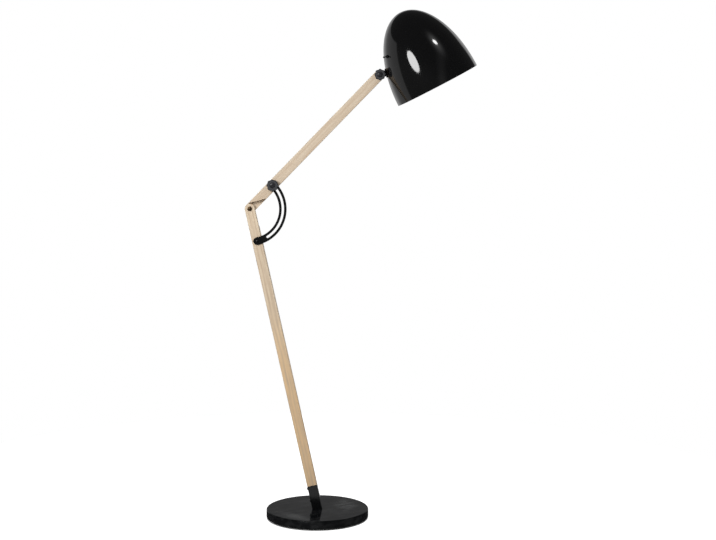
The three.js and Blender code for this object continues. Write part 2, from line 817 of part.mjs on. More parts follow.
// Outline of the glass from its open neck to its lowest point, an inset inside its outer face.
function bulbOutline(inset) {
  const top = ceramicBottom - 2 * seatGap - bulbContactHeight - bulbCapLength;
  const ball = bulbDiameter / 2 - inset;
  const neck = bulbNeckDiameter / 2 - inset;
  const centre = top - bulbLength + bulbDiameter / 2;
  const joinRadius = ball * Math.cos(bulbSwellAngle);
  const joinHeight = centre + ball * Math.sin(bulbSwellAngle);
  const shoulder = [
    neck + (joinRadius - neck) * (1 - bulbShoulderShare),
    joinHeight + (top - joinHeight) * bulbShoulderShare,
  ];
  return [
    [neck, top], shoulder,
    ...arcPoints([0, centre], [ball, ball], bulbSwellAngle, -Math.PI / 2, 2 * arcSteps),
  ];
}

// Hollow pear-shaped glass: a neck, open towards the cap, that swells into a ball.
function bulbGlass() {
  return turned(closedLoop([...bulbOutline(0), ...bulbOutline(bulbWall).reverse()]));
}

// Toggle switch, built on the shade's outside with +Z outwards

function switchBody() {
  const top = -(shadeWall + 3 * seatGap);
  const body = block(switchBodyLength, switchBodyWidth, switchBodyDepth)
    .translate([0, 0, top - switchBodyDepth / 2]);
  const bush = rod(switchBushDiameter, top - overrun / 2, switchBushReach, smallSides);
  const mouth = rod(switchBushBore, leverRootHeight() - seatGap, switchBushReach + overrun, smallSides);
  return body.add(bush).subtract(mouth);
}

function leverRootHeight() {
  return switchPivotHeight - leverRootDiameter / 2;
}

function switchNut() {
  return hexNut(switchNutWidth, switchBushDiameter + 2 * boreGap, seatGap, seatGap + switchNutHeight);
}

// Lever with a round root at its pivot and a ball at its tip, thrown towards the rim.
function switchLever() {
  const ball = leverBallDiameter / 2;
  const root = leverRootDiameter / 2;
  const stem = leverStemDiameter / 2;
  const tip = leverReach - switchPivotHeight - ball;
  const lowBlend = Math.asin(stem / root);
  const highBlend = Math.asin(stem / ball);
  return turned([
    ...arcPoints([0, 0], [root, root], -Math.PI / 2, Math.PI / 2 - lowBlend),
    ...arcPoints([0, tip], [ball, ball], highBlend - Math.PI / 2, Math.PI / 2, 2 * arcSteps),
  ], smallSides).rotate([0, leverThrow / degree, 0]).translate([0, 0, switchPivotHeight]);
}

function leadGrommet() {
  const neck = grommetNeckDiameter / 2;
  const flange = grommetFlangeDiameter / 2;
  const bore = grommetBore / 2;
  const inside = -(shadeWall + 3 * seatGap);
  return turned(closedLoop([
    [bore, inside - grommetFlangeThickness], [flange, inside - grommetFlangeThickness],
    [flange, inside], [neck, inside], [neck, seatGap], [flange, seatGap],
    [flange - grommetFlangeThickness / 2, seatGap + grommetFlangeThickness],
    [bore, seatGap + grommetFlangeThickness],
  ]), smallSides);
}

// Assembly

function place(parent, x, y, z, turnY = 0) {
  const group = new THREE.Group();
  group.position.set(x, y, z);
  group.rotation.y = turnY;
  parent.add(group);
  return group;
}

// Frame on a joint axis, with its z towards the near side.
function axisFrame(parent, z) {
  const group = place(parent, 0, 0, z);
  group.rotation.x = Math.PI / 2;
  return group;
}

const group = new THREE.Group();
group.add(
  piece('base_pad', basePad(), 'felt'),
  piece('base_stone', baseStone(), 'stone'),
  piece('foot_washer', footWasher(), 'zinc'),
  piece('foot_nut', footNut(), 'zinc'),
  piece('foot_stud', footStud(), 'zinc'),
);

const lowerFrame = place(group, 0, 0, stoneTop, -lowerArmLean);
lowerFrame.add(
  piece('foot_block', footBlock(), 'blackSteel'),
  piece('foot_socket', footSocket(), 'blackSteel'),
  piece('lower_arm', lowerArm(), 'wood'),
);
Object.entries({ low: lowFootScrewHeight, high: highFootScrewHeight }).forEach(([end, height]) => {
  const screwFrame = place(lowerFrame, -armWidth / 2 - seatGap, 0, height, -Math.PI / 2);
  screwFrame.add(piece(`foot_screw_${end}`, footScrew(), 'blackSteel'));
});

const elbowFrame = place(lowerFrame, 0, 0, lowerArmLength);
elbowFrame.add(piece('quadrant', quadrant(), 'blackSteel'));
axisFrame(elbowFrame, -quadrantRadius).add(piece('quadrant_screw', quadrantScrew(), 'blackSteel'));
axisFrame(elbowFrame, 0).add(
  piece('elbow_bolt', elbowBolt(), 'bronze'),
  piece('elbow_spacer', elbowSpacer(), 'fibre'),
  piece('elbow_washer', elbowWasher(), 'zinc'),
  piece('elbow_cap_nut', elbowCapNut(), 'bronze'),
);

const upperFrame = place(elbowFrame, 0, 0, 0, Math.PI / 2 - upperArmRise + lowerArmLean);
upperFrame.add(piece('upper_arm', upperArm(), 'wood'));

function addClamp(frame, name, diameter, seat) {
  frame.add(
    piece(`${name}_bolt`, clampBolt(seat), 'zinc'),
    piece(`${name}_far_washer`, farWasher(), 'zinc'),
    piece(`${name}_near_washer`, nearWasher(seat), 'zinc'),
  );
  const knobFrame = place(frame, 0, 0, seat);
  knobFrame.add(
    piece(`${name}_knob`, lobedKnob(diameter), 'blackPlastic'),
    piece(`${name}_knob_insert`, knobInsert(), 'brass'),
  );
}

addClamp(axisFrame(upperFrame, quadrantRadius), 'clamp', clampKnobDiameter, clampKnobSeat);

const headFrame = place(upperFrame, 0, 0, upperArmLength);
const tiltAxis = axisFrame(headFrame, 0);
addClamp(tiltAxis, 'tilt', tiltKnobDiameter, knobSeat);
const washerSeat = tongueThickness / 2 + seatGap;
place(tiltAxis, 0, 0, washerSeat).add(piece('friction_washer_near', frictionWasher(), 'fibre'));
place(tiltAxis, 0, 0, -washerSeat - frictionWasherThickness)
  .add(piece('friction_washer_far', frictionWasher(), 'fibre'));

const tiltedFrame = place(headFrame, 0, 0, 0, upperArmRise - Math.PI / 2 - shadeLean);
const shadeFrame = place(tiltedFrame, -pivotInShade.x, 0, -pivotInShade.z);
shadeFrame.add(
  piece('head_bracket', headBracket(), 'blackSteel'),
  piece('shade', shade(), 'gloss'),
  piece('holder_strap', holderStrap(), 'zinc'),
  piece('holder_nipple', holderNipple(), 'zinc'),
  piece('holder_lock_nut', holderLockNut(), 'zinc'),
  piece('holder_cap', holderCap(), 'blackPlastic'),
  piece('holder_ceramic', holderCeramic(), 'ceramic'),
  piece('holder_screw_shell', holderScrewShell(), 'brass'),
  piece('holder_skirt', holderSkirt(), 'blackPlastic'),
  piece('holder_ring', holderRing(), 'blackPlastic'),
  piece('bulb_cap', bulbCap(), 'zinc'),
  piece('bulb_glass', bulbGlass(), 'glass'),
  piece('switch_body', onWall(switchBody(), switchHeight, switchAzimuth), 'blackPlastic'),
  piece('switch_nut', onWall(switchNut(), switchHeight, switchAzimuth), 'zinc'),
  piece('switch_lever', onWall(switchLever(), switchHeight, switchAzimuth), 'blackSteel'),
  piece('lead_grommet', onWall(leadGrommet(), grommetHeight, -grommetAzimuth), 'rubber'),
);
['near', 'far'].forEach((side, i) => {
  const y = saddleScrewPlaces()[i];
  shadeFrame.add(
    piece(`bracket_screw_${side}`, onMount(countersunk(0), y), 'blackSteel'),
    piece(`bracket_nut_${side}`, onMount(saddleNut(), y), 'zinc'),
  );
});

export default group;
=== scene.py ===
"""Looks of a floor lamp with a stone foot, two wooden arms and a domed shade.

The file is laid out as an add-on: property groups hold the sizes and colours, one operator makes
each group of pieces, and a panel lists them. Run as a script, it dresses the whole lamp.

Rows and profiles are (radius, height) pairs that go round the z axis of the piece's place.
"""

import math

import bmesh
import bpy
import numpy as np
from bpy.props import FloatProperty, FloatVectorProperty, IntProperty, PointerProperty
from mathutils import Matrix, Vector


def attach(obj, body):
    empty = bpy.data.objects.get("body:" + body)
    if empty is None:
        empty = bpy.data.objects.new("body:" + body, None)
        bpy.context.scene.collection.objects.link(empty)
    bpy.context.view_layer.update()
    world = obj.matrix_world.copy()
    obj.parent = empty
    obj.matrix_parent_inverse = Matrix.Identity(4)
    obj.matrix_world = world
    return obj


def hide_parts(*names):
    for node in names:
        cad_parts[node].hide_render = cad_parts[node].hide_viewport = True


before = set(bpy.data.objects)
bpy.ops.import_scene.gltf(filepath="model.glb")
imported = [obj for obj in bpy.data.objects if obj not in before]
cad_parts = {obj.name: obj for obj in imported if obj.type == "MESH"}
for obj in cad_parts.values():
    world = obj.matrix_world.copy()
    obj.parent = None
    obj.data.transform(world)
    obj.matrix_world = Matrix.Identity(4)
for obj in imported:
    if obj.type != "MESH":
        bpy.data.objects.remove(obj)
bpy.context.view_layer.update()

bl_info = {
    "name": "Floor Lamp",
    "version": (1, 0, 0),
    "blender": (4, 5, 0),
    "location": "3D View > Sidebar > Lamp",
    "description": "Dresses a packed floor lamp with a stone foot, wooden arms and a shade",
    "category": "Add Mesh",
}

MM = 0.001
TURN = 2 * math.pi
QUARTER = math.pi / 2
ROUND, SMALL_ROUND = 96, 48  # sides of a turned piece
SEAT = 0.3  # gap between two pieces that rest on each other, as in the solids
SKIN = 0.03  # how far a face stays inside its solid
MERGE_METRES = 2e-6
SHARP_ANGLE = math.radians(32)


# Sizes and colours

def length(label, millimetres, about):
    return FloatProperty(name=label, description=about, default=millimetres * MM, min=0,
                         unit="LENGTH", precision=4)


def angle(label, degrees, about):
    return FloatProperty(name=label, description=about, default=math.radians(degrees),
                         unit="ROTATION")


def colour(label, rgb, about):
    return FloatVectorProperty(name=label, description=about, default=rgb, size=3, min=0, max=1,
                               subtype="COLOR")


def brightness(label, level, about):
    return FloatProperty(name=label, description=about, default=level, min=0)


class LampFootSizes(bpy.types.PropertyGroup):
    """Sizes of the stone base and of the socket that carries the lower arm."""
    base_diameter: length("Base", 300, "Width of the stone across its edge")
    stone_thickness: length("Stone", 24.6, "Thickness of the stone")
    stone_edge: length("Stone edge", 3, "Radius of the eased edges of the stone")
    pad_thickness: length("Pad", 2, "Thickness of the felt pad under the stone")
    pad_inset: length("Pad inset", 6, "How far the pad stays inside the stone's edge")
    socket_length: length("Socket", 71, "Height of the steel socket along the arm")
    socket_wall: length("Socket wall", 2, "Wall of the steel socket")
    socket_corner: length("Socket corner", 2.5, "Corner radius of the steel socket")
    screw_low: length("Low screw", 26, "Height of the lower socket screw along the arm")
    screw_high: length("High screw", 62, "Height of the upper socket screw along the arm")


class LampArmSizes(bpy.types.PropertyGroup):
    """Sizes of the two wooden arms and of the half-lapped elbow."""
    width: length("Width", 29, "Width and depth of the square arms")
    edge: length("Edge", 2, "Radius of the long edges")
    lower_length: length("Lower arm", 905.26, "Lower arm from the stone to the elbow")
    upper_length: length("Upper arm", 536, "Upper arm from the elbow to the head joint")
    lower_lean: angle("Lean", 12.237, "Lean of the lower arm from upright")
    upper_rise: angle("Rise", 45.7, "Rise of the upper arm from level")
    lap_clearance: length("Lap clearance", 2.5, "Gap between a round end and the other shoulder")
    shoulder_angle: angle("Shoulder", 31, "Slant of the shoulder from the arm's length")
    spacer_thickness: length("Spacer", 1, "Thickness of the washer between the laps")


class LampClampSizes(bpy.types.PropertyGroup):
    """Sizes of the slotted quadrant, the clamp bolts and the lobed knobs."""
    quadrant_radius: length("Quadrant", 95.5, "Radius of the middle of the slot")
    quadrant_width: length("Quadrant width", 21.6, "Width of the slotted steel strip")
    quadrant_thickness: length("Quadrant thickness", 3, "Thickness of the slotted steel strip")
    slot_width: length("Slot", 6.6, "Width of the slot")
    slot_start: angle("Slot start", 20, "Where the slot starts, from the lower arm")
    bolt_diameter: length("Bolt", 6, "Diameter of the clamp bolts")
    clamp_knob: length("Clamp knob", 35, "Diameter of the elbow's clamp knob")
    tilt_knob: length("Tilt knob", 32.5, "Diameter of the head's tilt knob")
    knob_lobes: IntProperty(name="Lobes", description="Lobes round a knob", default=8, min=3)
    lobe_depth: length("Lobe depth", 1.7, "Depth of the dips between a knob's lobes")


class LampHeadSizes(bpy.types.PropertyGroup):
    """Sizes of the shade, its bracket, the lamp holder and the bulb."""
    radius: length("Radius", 126, "Radius of the shade at its rim")
    height: length("Height", 233, "Height of the shade from its rim to its crown")
    wall: length("Wall", 1.2, "Wall of the shade")
    lean: angle("Lean", 27.5, "Lean of the shade's axis from upright")
    bracket_height: length("Bracket", 99.4, "Height of the bracket above the rim")
    standoff: length("Standoff", 18.3, "Distance from the tilt axis to the shade")
    strap_height: length("Strap", 190, "Height of the strap's bar above the rim")
    bulb_diameter: length("Bulb", 60, "Diameter of the bulb")
    bulb_length: length("Bulb length", 78, "Length of the bulb's glass")
    switch_height: length("Switch height", 139, "Height of the switch above the rim")
    switch_azimuth: angle("Switch azimuth", 27, "Place of the switch round the shade")
    lever_throw: angle("Lever throw", 9, "Throw of the switch lever from its middle")
    grommet_height: length("Grommet height", 105, "Height of the lead's grommet above the rim")
    grommet_azimuth: angle("Grommet azimuth", 30, "Place of the grommet round the shade")


class LampColours(bpy.types.PropertyGroup):
    """Main colours of the lamp."""
    stone: colour("Stone", (0.0042, 0.0045, 0.0052), "Polished black stone")
    stone_fleck: colour("Stone fleck", (0.055, 0.056, 0.058), "Pale grains in the stone")
    felt: colour("Felt", (0.012, 0.012, 0.013), "Pad under the stone")
    wood: colour("Wood", (0.765, 0.635, 0.47), "Top of the lower arm, between the grain lines")
    # painted shade: the same wood as the lower arm, darker because the key lamp lights the upper
    # arm more
    wood_pale: colour("Pale wood", (0.695, 0.578, 0.44), "Upper arm, between the grain lines")
    # partly painted light: brighter as well as yellower, making up for the key lamp's light that
    # falls off towards the foot
    wood_warm: colour("Warm wood", (0.80, 0.56, 0.315), "Yellower foot of the lower arm")
    wood_grain: colour("Wood grain", (0.58, 0.44, 0.31), "Late wood and pores")
    steel: colour("Black steel", (0.0045, 0.0048, 0.005), "Coated steel of the foot and quadrant")
    bronze: colour("Bronze", (0.13, 0.085, 0.045), "Dark plated elbow bolt and nut")
    zinc: colour("Zinc", (0.58, 0.59, 0.61), "Plated bolts and washers")
    knob: colour("Knob", (0.034, 0.035, 0.038), "Moulded knobs")
    shade: colour("Shade", (0.0026, 0.0026, 0.0028), "Gloss paint outside")
    shade_inside: colour("Shade inside", (0.78, 0.77, 0.74), "Paint inside")
    brass: colour("Brass", (0.62, 0.44, 0.18), "Inserts and screw shell")


class LampStudio(bpy.types.PropertyGroup):
    """Floor, background and lamps of the studio."""
    floor_radius: length("Floor", 1500, "Radius of the floor around the lamp")
    key_radiance: brightness("Key", 16.7, "Brightness of the large side softbox")
    top_radiance: brightness("Top", 24.0, "Brightness of the small high softbox")
    glow: brightness("Glow", 1.3, "Brightness of the haze around the small high softbox")
    fill_radiance: brightness("Fill", 2.4, "Brightness of the soft light that gloss doesn't mirror")
    backdrop: brightness("Backdrop", 0.8, "Brightness of the pale half of the room, for gloss")
    front: brightness("Front", 0.07, "Brightness of the dark half of the room, for gloss")
    ambient: brightness("Ambient", 0.3, "Brightness of the room, for matt surfaces")
    side: brightness("Side", 1.1, "Brightness on the right, behind the lamp, for matt surfaces")


class Settings:
    """Reads a property group of the scene, with its lengths in millimetres."""

    def __init__(self, name):
        self.name = name

    def __getattr__(self, key):
        group = getattr(bpy.context.scene, self.name)
        value = getattr(group, key)
        return value / MM if group.bl_rna.properties[key].unit == "LENGTH" else value


foot, arms, clamp = Settings("lamp_foot"), Settings("lamp_arms"), Settings("lamp_clamp")
head, colours, studio = Settings("lamp_head"), Settings("lamp_colours"), Settings("lamp_studio")


# Places: each joint or part has a frame of its own, as in the solids

class Place:
    """A right-handed frame: an origin and three axes. put() maps local points into the room."""

    def __init__(self, origin, x_axis, y_axis, z_axis):
        self.origin = np.asarray(origin, float)
        self.axes = np.array([x_axis, y_axis, z_axis], float)

    def put(self, points):
        return self.origin + np.asarray(points, float) @ self.axes

    def moved(self, x, y, z):
        return Place(self.put([x, y, z]), *self.axes)

    def turned(self, x_axis, y_axis, z_axis):
        """Same origin, with axes given in this frame."""
        return Place(self.origin, *(np.array([x_axis, y_axis, z_axis], float) @ self.axes))

    def near_side(self, along=0):
        """Frame some way along this z, whose z points to the near side and y along this z."""
        return self.moved(0, 0, along).turned((1, 0, 0), (0, 0, 1), (0, -1, 0))


ROOM = Place((0, 0, 0), (1, 0, 0), (0, 1, 0), (0, 0, 1))


def leaning(origin, lean):
    """Frame in the plane of the arms whose z leans from upright towards -x by an angle."""
    c, s = math.cos(lean), math.sin(lean)
    return Place(origin, (c, 0, s), (0, 1, 0), (-s, 0, c))


def stone_top():
    return foot.pad_thickness + SEAT + foot.stone_thickness


def lower_place():
    return leaning((0, 0, stone_top()), arms.lower_lean)


def elbow_place():
    return lower_place().moved(0, 0, arms.lower_length)


def upper_place():
    return leaning(elbow_place().origin, arms.upper_rise - QUARTER)


def wall_point(height):
    """Radius of the shade's spheroid at a height, and its outward direction (out, up) there."""
    radius = head.radius * math.sqrt(1 - (height / head.height) ** 2)
    out, up = radius / head.radius ** 2, height / head.height ** 2
    size = math.hypot(out, up)
    return radius, out / size, up / size


def shade_place():
    """Frame on the shade's axis, with its origin in the middle of the rim."""
    radius, out, up = wall_point(head.bracket_height)
    pivot = leaning(upper_place().put((0, 0, arms.upper_length)), head.lean)
    return pivot.moved(radius + head.standoff * out, 0,
                       -(head.bracket_height + head.standoff * up))


def wall_place(height, azimuth):
    """Frame on the shade's outside with z outwards; azimuth turns from -x to the near side."""
    radius, out, up = wall_point(height)
    c, s = math.cos(math.pi + azimuth), math.sin(math.pi + azimuth)
    side, outward = (-s, c, 0), (out * c, out * s, up)
    here = shade_place().moved(radius * c, radius * s, height)
    return here.turned(np.cross(side, outward), side, outward)


# Surfaces: grids of points worked out with numpy, joined into one closed mesh

def arc(centre, radius, start, end, steps):
    """Points centre + radius (cos t, sin t), t from start to end; the radius may be (x, y)."""
    t = np.linspace(start, end, steps + 1)
    return np.asarray(centre) + np.asarray(radius) * np.stack([np.cos(t), np.sin(t)], -1)


def ring(rows):
    """Rows that end with the first one again."""
    return [*rows, rows[0]]


def turn(sides):
    """The angles t of a turned piece, evenly round."""
    return np.arange(sides) * TURN / sides


def level(outline, z):
    """Outline (x, y) at a height z, which is a number or an array along it."""
    return np.column_stack([outline, z + 0 * outline[:, 0]])


def upright(outline, y):
    """Outline (x, z) at a depth y."""
    return np.insert(outline, 1, y, axis=1)


class Mesh:
    """Gathers grids of points and turns them into one object."""

    def __init__(self, name):
        self.name = name
        self.points, self.faces, self.slots = [], [], []
        self.count = 0

    def grid(self, points, round_about=False, slot=0):
        """Adds the quads of a grid (rows, columns, 3); round_about joins its last column too."""
        points = np.asarray(points)
        rows, columns = points.shape[:2]
        index = self.count + np.arange(rows * columns).reshape(rows, columns)
        here = index if round_about else index[:, :-1]
        beside = np.roll(index, -1, 1) if round_about else index[:, 1:]
        quads = np.stack([here[:-1], beside[:-1], beside[1:], here[1:]], -1).reshape(-1, 4)
        self.points.append(points.reshape(-1, 3))
        self.faces += quads.tolist()
        self.slots += [slot] * len(quads)
        self.count += rows * columns
        return self

    def turned(self, rows, sides=SMALL_ROUND, slot=0):
        """Adds rows (r, z), each a number or an array over t: (r cos t, r sin t, z)."""
        t = turn(sides)
        return self.grid([np.stack([r * np.cos(t), r * np.sin(t), z + 0 * t], -1)
                          for r, z in rows], True, slot)

    def cap(self, points, slot=0):
        """Adds one flat face through a loop of points."""
        self.points.append(np.asarray(points, float))
        self.faces.append(list(range(self.count, self.count + len(points))))
        self.slots.append(slot)
        self.count += len(points)
        return self

    def finish(self, place, materials):
        """Object in place, its doubles merged, its faces turned outwards and shaded by angle."""
        points = MM * place.put(np.concatenate(self.points))
        mesh = bpy.data.meshes.new(self.name)
        mesh.from_pydata(points.tolist(), [], self.faces)
        mesh.polygons.foreach_set("material_index", np.array(self.slots, np.int32))
        for material in materials:
            mesh.materials.append(material)
        work = bmesh.new()
        work.from_mesh(mesh)
        bmesh.ops.remove_doubles(work, verts=work.verts, dist=MERGE_METRES)
        bmesh.ops.recalc_face_normals(work, faces=work.faces)
        work.to_mesh(mesh)
        work.free()
        mesh.polygons.foreach_set("use_smooth", np.ones(len(mesh.polygons), bool))
        mesh.set_sharp_from_angle(angle=SHARP_ANGLE)
        item = bpy.data.objects.new(self.name, mesh)
        bpy.context.scene.collection.objects.link(item)
        flat = item.modifiers.new("flat_sides", "WEIGHTED_NORMAL")
        flat.mode, flat.keep_sharp = "FACE_AREA", True
        return item


def add_piece(mesh, place, looks, body, node):
    """Finishes a mesh, hangs it on the empty of the body that it rides on and hides the solid that
    it stands for.

    looks names one finish for each slot of the mesh.
    """
    names = looks.split()
    item = mesh.finish(place, [finish(name) for name in names])
    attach(item, body)
    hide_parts(node)


def dress(look, *nodes):
    """Gives solids that stay as they are a new material."""
    for node in nodes:
        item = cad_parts[node]
        item.data.materials.clear()
        item.data.materials.append(finish(look))


# Node trees

class Nodes:
    """The node tree of a new material or world, with short ways to add and join nodes."""

    def __init__(self, owner):
        owner.use_nodes = True
        self.tree = owner.node_tree
        self.tree.nodes.clear()

    def add(self, kind, inputs=None, **settings):
        node = self.tree.nodes.new(kind)
        for key, value in settings.items():
            setattr(node, key, value)
        for key, value in (inputs or {}).items():
            self.join(node.inputs[key], value)
        return node

    def join(self, socket, value):
        if isinstance(value, bpy.types.NodeSocket):
            self.tree.links.new(value, socket)
        else:
            socket.default_value = value

    def place(self, origin=(0, 0, 0), turned=(0, 0, 0), scale=(1, 1, 1)):
        """Object coordinates seen from a frame at an origin, turned and divided by a scale."""
        coordinates = self.add("ShaderNodeTexCoord").outputs["Object"]
        return self.add("ShaderNodeMapping", {
            "Vector": coordinates, "Location": origin, "Rotation": turned, "Scale": scale,
        }, vector_type="TEXTURE").outputs[0]

    def stretch(self, vector, factors):
        return self.add("ShaderNodeVectorMath", {0: vector, 1: factors},
                        operation="MULTIPLY").outputs[0]

    def size(self, vector):
        return self.add("ShaderNodeVectorMath", {0: vector}, operation="LENGTH").outputs["Value"]

    def apart(self, vector):
        """The three coordinates of a vector."""
        return self.add("ShaderNodeSeparateXYZ", {0: vector}).outputs

    def spread(self, value, low, high, to_low=0.0, to_high=1.0, shape="LINEAR"):
        """Maps low..high to to_low..to_high and holds the ends."""
        return self.add("ShaderNodeMapRange", {
            "Value": value, "From Min": low, "From Max": high, "To Min": to_low, "To Max": to_high,
        }, interpolation_type=shape).outputs[0]

    def eased(self, *values):
        """As spread, with a soft start and end."""
        return self.spread(*values, shape="SMOOTHSTEP")

    def math(self, operation, *values):
        return self.add("ShaderNodeMath", dict(enumerate(values)), operation=operation).outputs[0]

    def product(self, first, *others):
        for value in others:
            first = self.math("MULTIPLY", first, value)
        return first

    def total(self, first, *others):
        for value in others:
            first = self.math("ADD", first, value)
        return first

    def blend(self, share, a, b):
        """Colour between a and b by a share from 0 to 1."""
        a, b = (value if isinstance(value, bpy.types.NodeSocket) else (*value, 1)
                for value in (a, b))
        return self.add("ShaderNodeMix", {0: share, 6: a, 7: b}, data_type="RGBA").outputs[2]

    def either(self, share, a, b):
        """Number between a and b by a share from 0 to 1."""
        return self.add("ShaderNodeMix", {0: share, 2: a, 3: b}, data_type="FLOAT").outputs[0]


class Finish(Nodes):
    """A new material; here is the shaded point in its object's coordinates."""

    def __init__(self, name):
        self.material = bpy.data.materials.new(name)
        super().__init__(self.material)
        self.here = self.place()

    def noise(self, scale, detail=3.0, roughness=0.5, vector=None):
        return self.add("ShaderNodeTexNoise", {
            "Vector": vector or self.here, "Scale": scale, "Detail": detail, "Roughness": roughness,
        }).outputs[0]

    def smear(self, origin, turned, size):
        """Soft spot: 1 at its middle and 0 outside an ellipsoid of that size."""
        return self.eased(self.size(self.place(origin, (0, 0, turned), size)), 0.0, 1.0, 1.0, 0.0)

    def output(self, shader):
        self.add("ShaderNodeOutputMaterial", {"Surface": shader.outputs[0]})
        return self.material

    def principled(self, base, roughness, relief=None, **inputs):
        """Principled shader; relief is a bump's height, its depth in millimetres and strength."""
        values = {"Base Color": base, "Roughness": roughness}
        values.update({key.replace("_", " "): value for key, value in inputs.items()})
        if relief:
            height, depth, strength = relief
            values["Normal"] = self.add("ShaderNodeBump", {
                "Height": height, "Distance": depth * MM, "Strength": strength}).outputs[0]
        return self.output(self.add("ShaderNodeBsdfPrincipled", values))


def stone_finish():
    """Polished black stone: fine pale grains, soft clouds and a faint waviness of the polish."""
    f = Finish("polished_stone")
    pale = colours.stone_fleck
    grains = f.spread(f.noise(900, 4, 0.7), 0.56, 0.7)
    cells = f.add("ShaderNodeTexVoronoi", {"Vector": f.here, "Scale": 420.0}).outputs["Distance"]
    flecks = f.product(f.spread(cells, 0.0, 0.22, 1, 0), f.spread(f.noise(60), 0.45, 0.7))
    specks = f.math("MAXIMUM", f.product(grains, 0.35), flecks)
    drift = f.stretch(f.place(turned=(0, 0, 0.5)), (1, 2.6, 3))
    clouds = f.spread(f.noise(16, 4, 0.6, drift), 0.46, 0.66)
    wisps = f.spread(f.noise(45, 3, 0.65, drift), 0.5, 0.7)
    veins = f.spread(f.noise(34, 3, 0.65, drift), 0.4, 0.6)
    right = f.smear((0.08, 0.035, 0.027), 0.1, (0.045, 0.1, 0.02))  # a veined patch
    # painted reflection: a paler, plain patch near the front edge stands in for a brighter part of
    # the room mirrored there
    near = f.smear((-0.058, -0.1, 0.027), -0.8, (0.085, 0.032, 0.02))  # a plain patch
    # the mist carries the painted reflection patch as well as the stone's clouds, wisps and veins
    mist_and_painted_reflection = f.total(f.product(clouds, 0.3), f.product(wisps, 0.1), f.product(right, veins, 1.3),
                   f.product(near, 0.8))
    ground_with_painted_light = f.blend(mist_and_painted_reflection, colours.stone, pale)
    return f.principled(f.blend(f.product(specks, 0.2), ground_with_painted_light, pale),
                        f.spread(f.noise(9, 4, 0.6), 0.3, 0.75, 0.06, 0.14),
                        (f.noise(6, 2), 0.4, 0.15), Specular_IOR_Level=0.033)


def felt_finish():
    """Black felt: short fibres in all directions."""
    f = Finish("felt_pad")
    fibres = f.noise(1800, 4, 0.7, f.stretch(f.here, (1, 1, 3)))
    return f.principled(f.blend(fibres, colours.felt, (0.03, 0.03, 0.032)), 0.95,
                        (fibres, 0.3, 0.8), Specular_IOR_Level=0.2, Sheen_Weight=0.3)


def wood_finish(name, place, lean, pith, tone, foot_tone=None, low=0.0, high=0.0):
    """Pale wood along the arm: growth rings about a pith outside the stick, pores and streaks.

    With a tone for its foot, the stick turns from that tone to the other between two heights; on
    the lower arm that foot tone is partly painted light.
    """
    f = Finish(name)
    ring_width, wander_depth, drift = 8.5 * MM, 7 * MM, 60 * MM
    here = f.place(tuple(MM * place.origin), (0, -lean, 0))

    def lengthwise(factor, *pattern):
        return f.noise(*pattern, f.stretch(here, (1, 1, factor)))

    wander = f.noise(1.0, 2, 0.5, f.stretch(here, (6, 6, 0.9)))
    away = f.add("ShaderNodeVectorMath", {0: here, 1: pith}, operation="SUBTRACT").outputs[0]
    radius = f.total(f.size(f.stretch(away, (1, 1, 0.004))), f.product(wander, wander_depth))
    rings = f.spread(f.math("SINE", f.product(radius, TURN / ring_width)), -0.8, 1.0)
    streaks = f.spread(lengthwise(0.05, 200, 2, 0.5), 0.36, 0.66)
    pores = f.spread(lengthwise(0.02, 1500, 2, 0.5), 0.6, 0.74)
    patches = lengthwise(0.25, 12, 2, 0.5)
    share = f.total(f.product(rings, 0.34), f.product(streaks, 0.66), f.product(pores, 0.14),
                    f.spread(patches, 0.35, 0.65, -0.16, 0.1))
    relief = f.total(f.product(streaks, -0.5), f.product(pores, -0.4))
    ground_with_painted_light = tone
    # on the lower arm this blend is partly painted light, brighter towards the foot
    if foot_tone:
        along = f.total(f.apart(here)[2], f.spread(patches, 0.3, 0.7, -drift, drift))
        ground_with_painted_light = f.blend(f.eased(along, low, high), foot_tone, tone)
    return f.principled(f.blend(share, ground_with_painted_light, colours.wood_grain),
                        f.spread(streaks, 0, 1, 0.46, 0.62), (relief, 0.02, 0.25),
                        Specular_IOR_Level=0.4)


def lower_wood():
    """Wood of the lower arm, yellower and brighter at its foot: partly its own tone, partly painted
    light where the key lamp's light falls off.
    """
    reach = arms.lower_length * MM
    return wood_finish("lower_wood", lower_place(), arms.lower_lean, (-0.062, 0.034, 0.1),
                       colours.wood, colours.wood_warm, 0.35 * reach, 0.8 * reach)


def upper_wood():
    """Wood of the upper arm, in one tone that is darkened as painted shade, since the key lamp
    lights this arm more.
    """
    return wood_finish("upper_wood", upper_place(), arms.upper_rise - QUARTER,
                       (0.048, 0.05, 0.3), colours.wood_pale)


def steel_finish(name, smooth, rough, specular):
    """Black coated steel: a fine orange peel and a few rubbed specks."""
    f = Finish(name)
    rubbed = f.spread(f.noise(1500, 3, 0.7), 0.68, 0.78)
    return f.principled(f.blend(f.product(rubbed, 0.4), colours.steel, (0.05, 0.05, 0.052)),
                        f.spread(f.noise(90, 3), 0.3, 0.7, smooth, rough),
                        (f.noise(700, 2, 0.5), 0.05, 0.35), Specular_IOR_Level=specular)


def metal_finish(name, tint, worn, rough):
    """Plated metal: faint lay of the tool, spots of dulled plating."""
    f = Finish(name)
    lay = f.noise(1200, 3, 0.6, f.stretch(f.here, (1, 0.2, 1)))
    dull = f.spread(f.noise(160, 4, 0.6), 0.42, 0.7)
    return f.principled(f.blend(dull, tint, worn), f.spread(dull, 0, 1, rough, rough + 0.16),
                        (lay, 0.02, 0.3), Metallic=1.0)


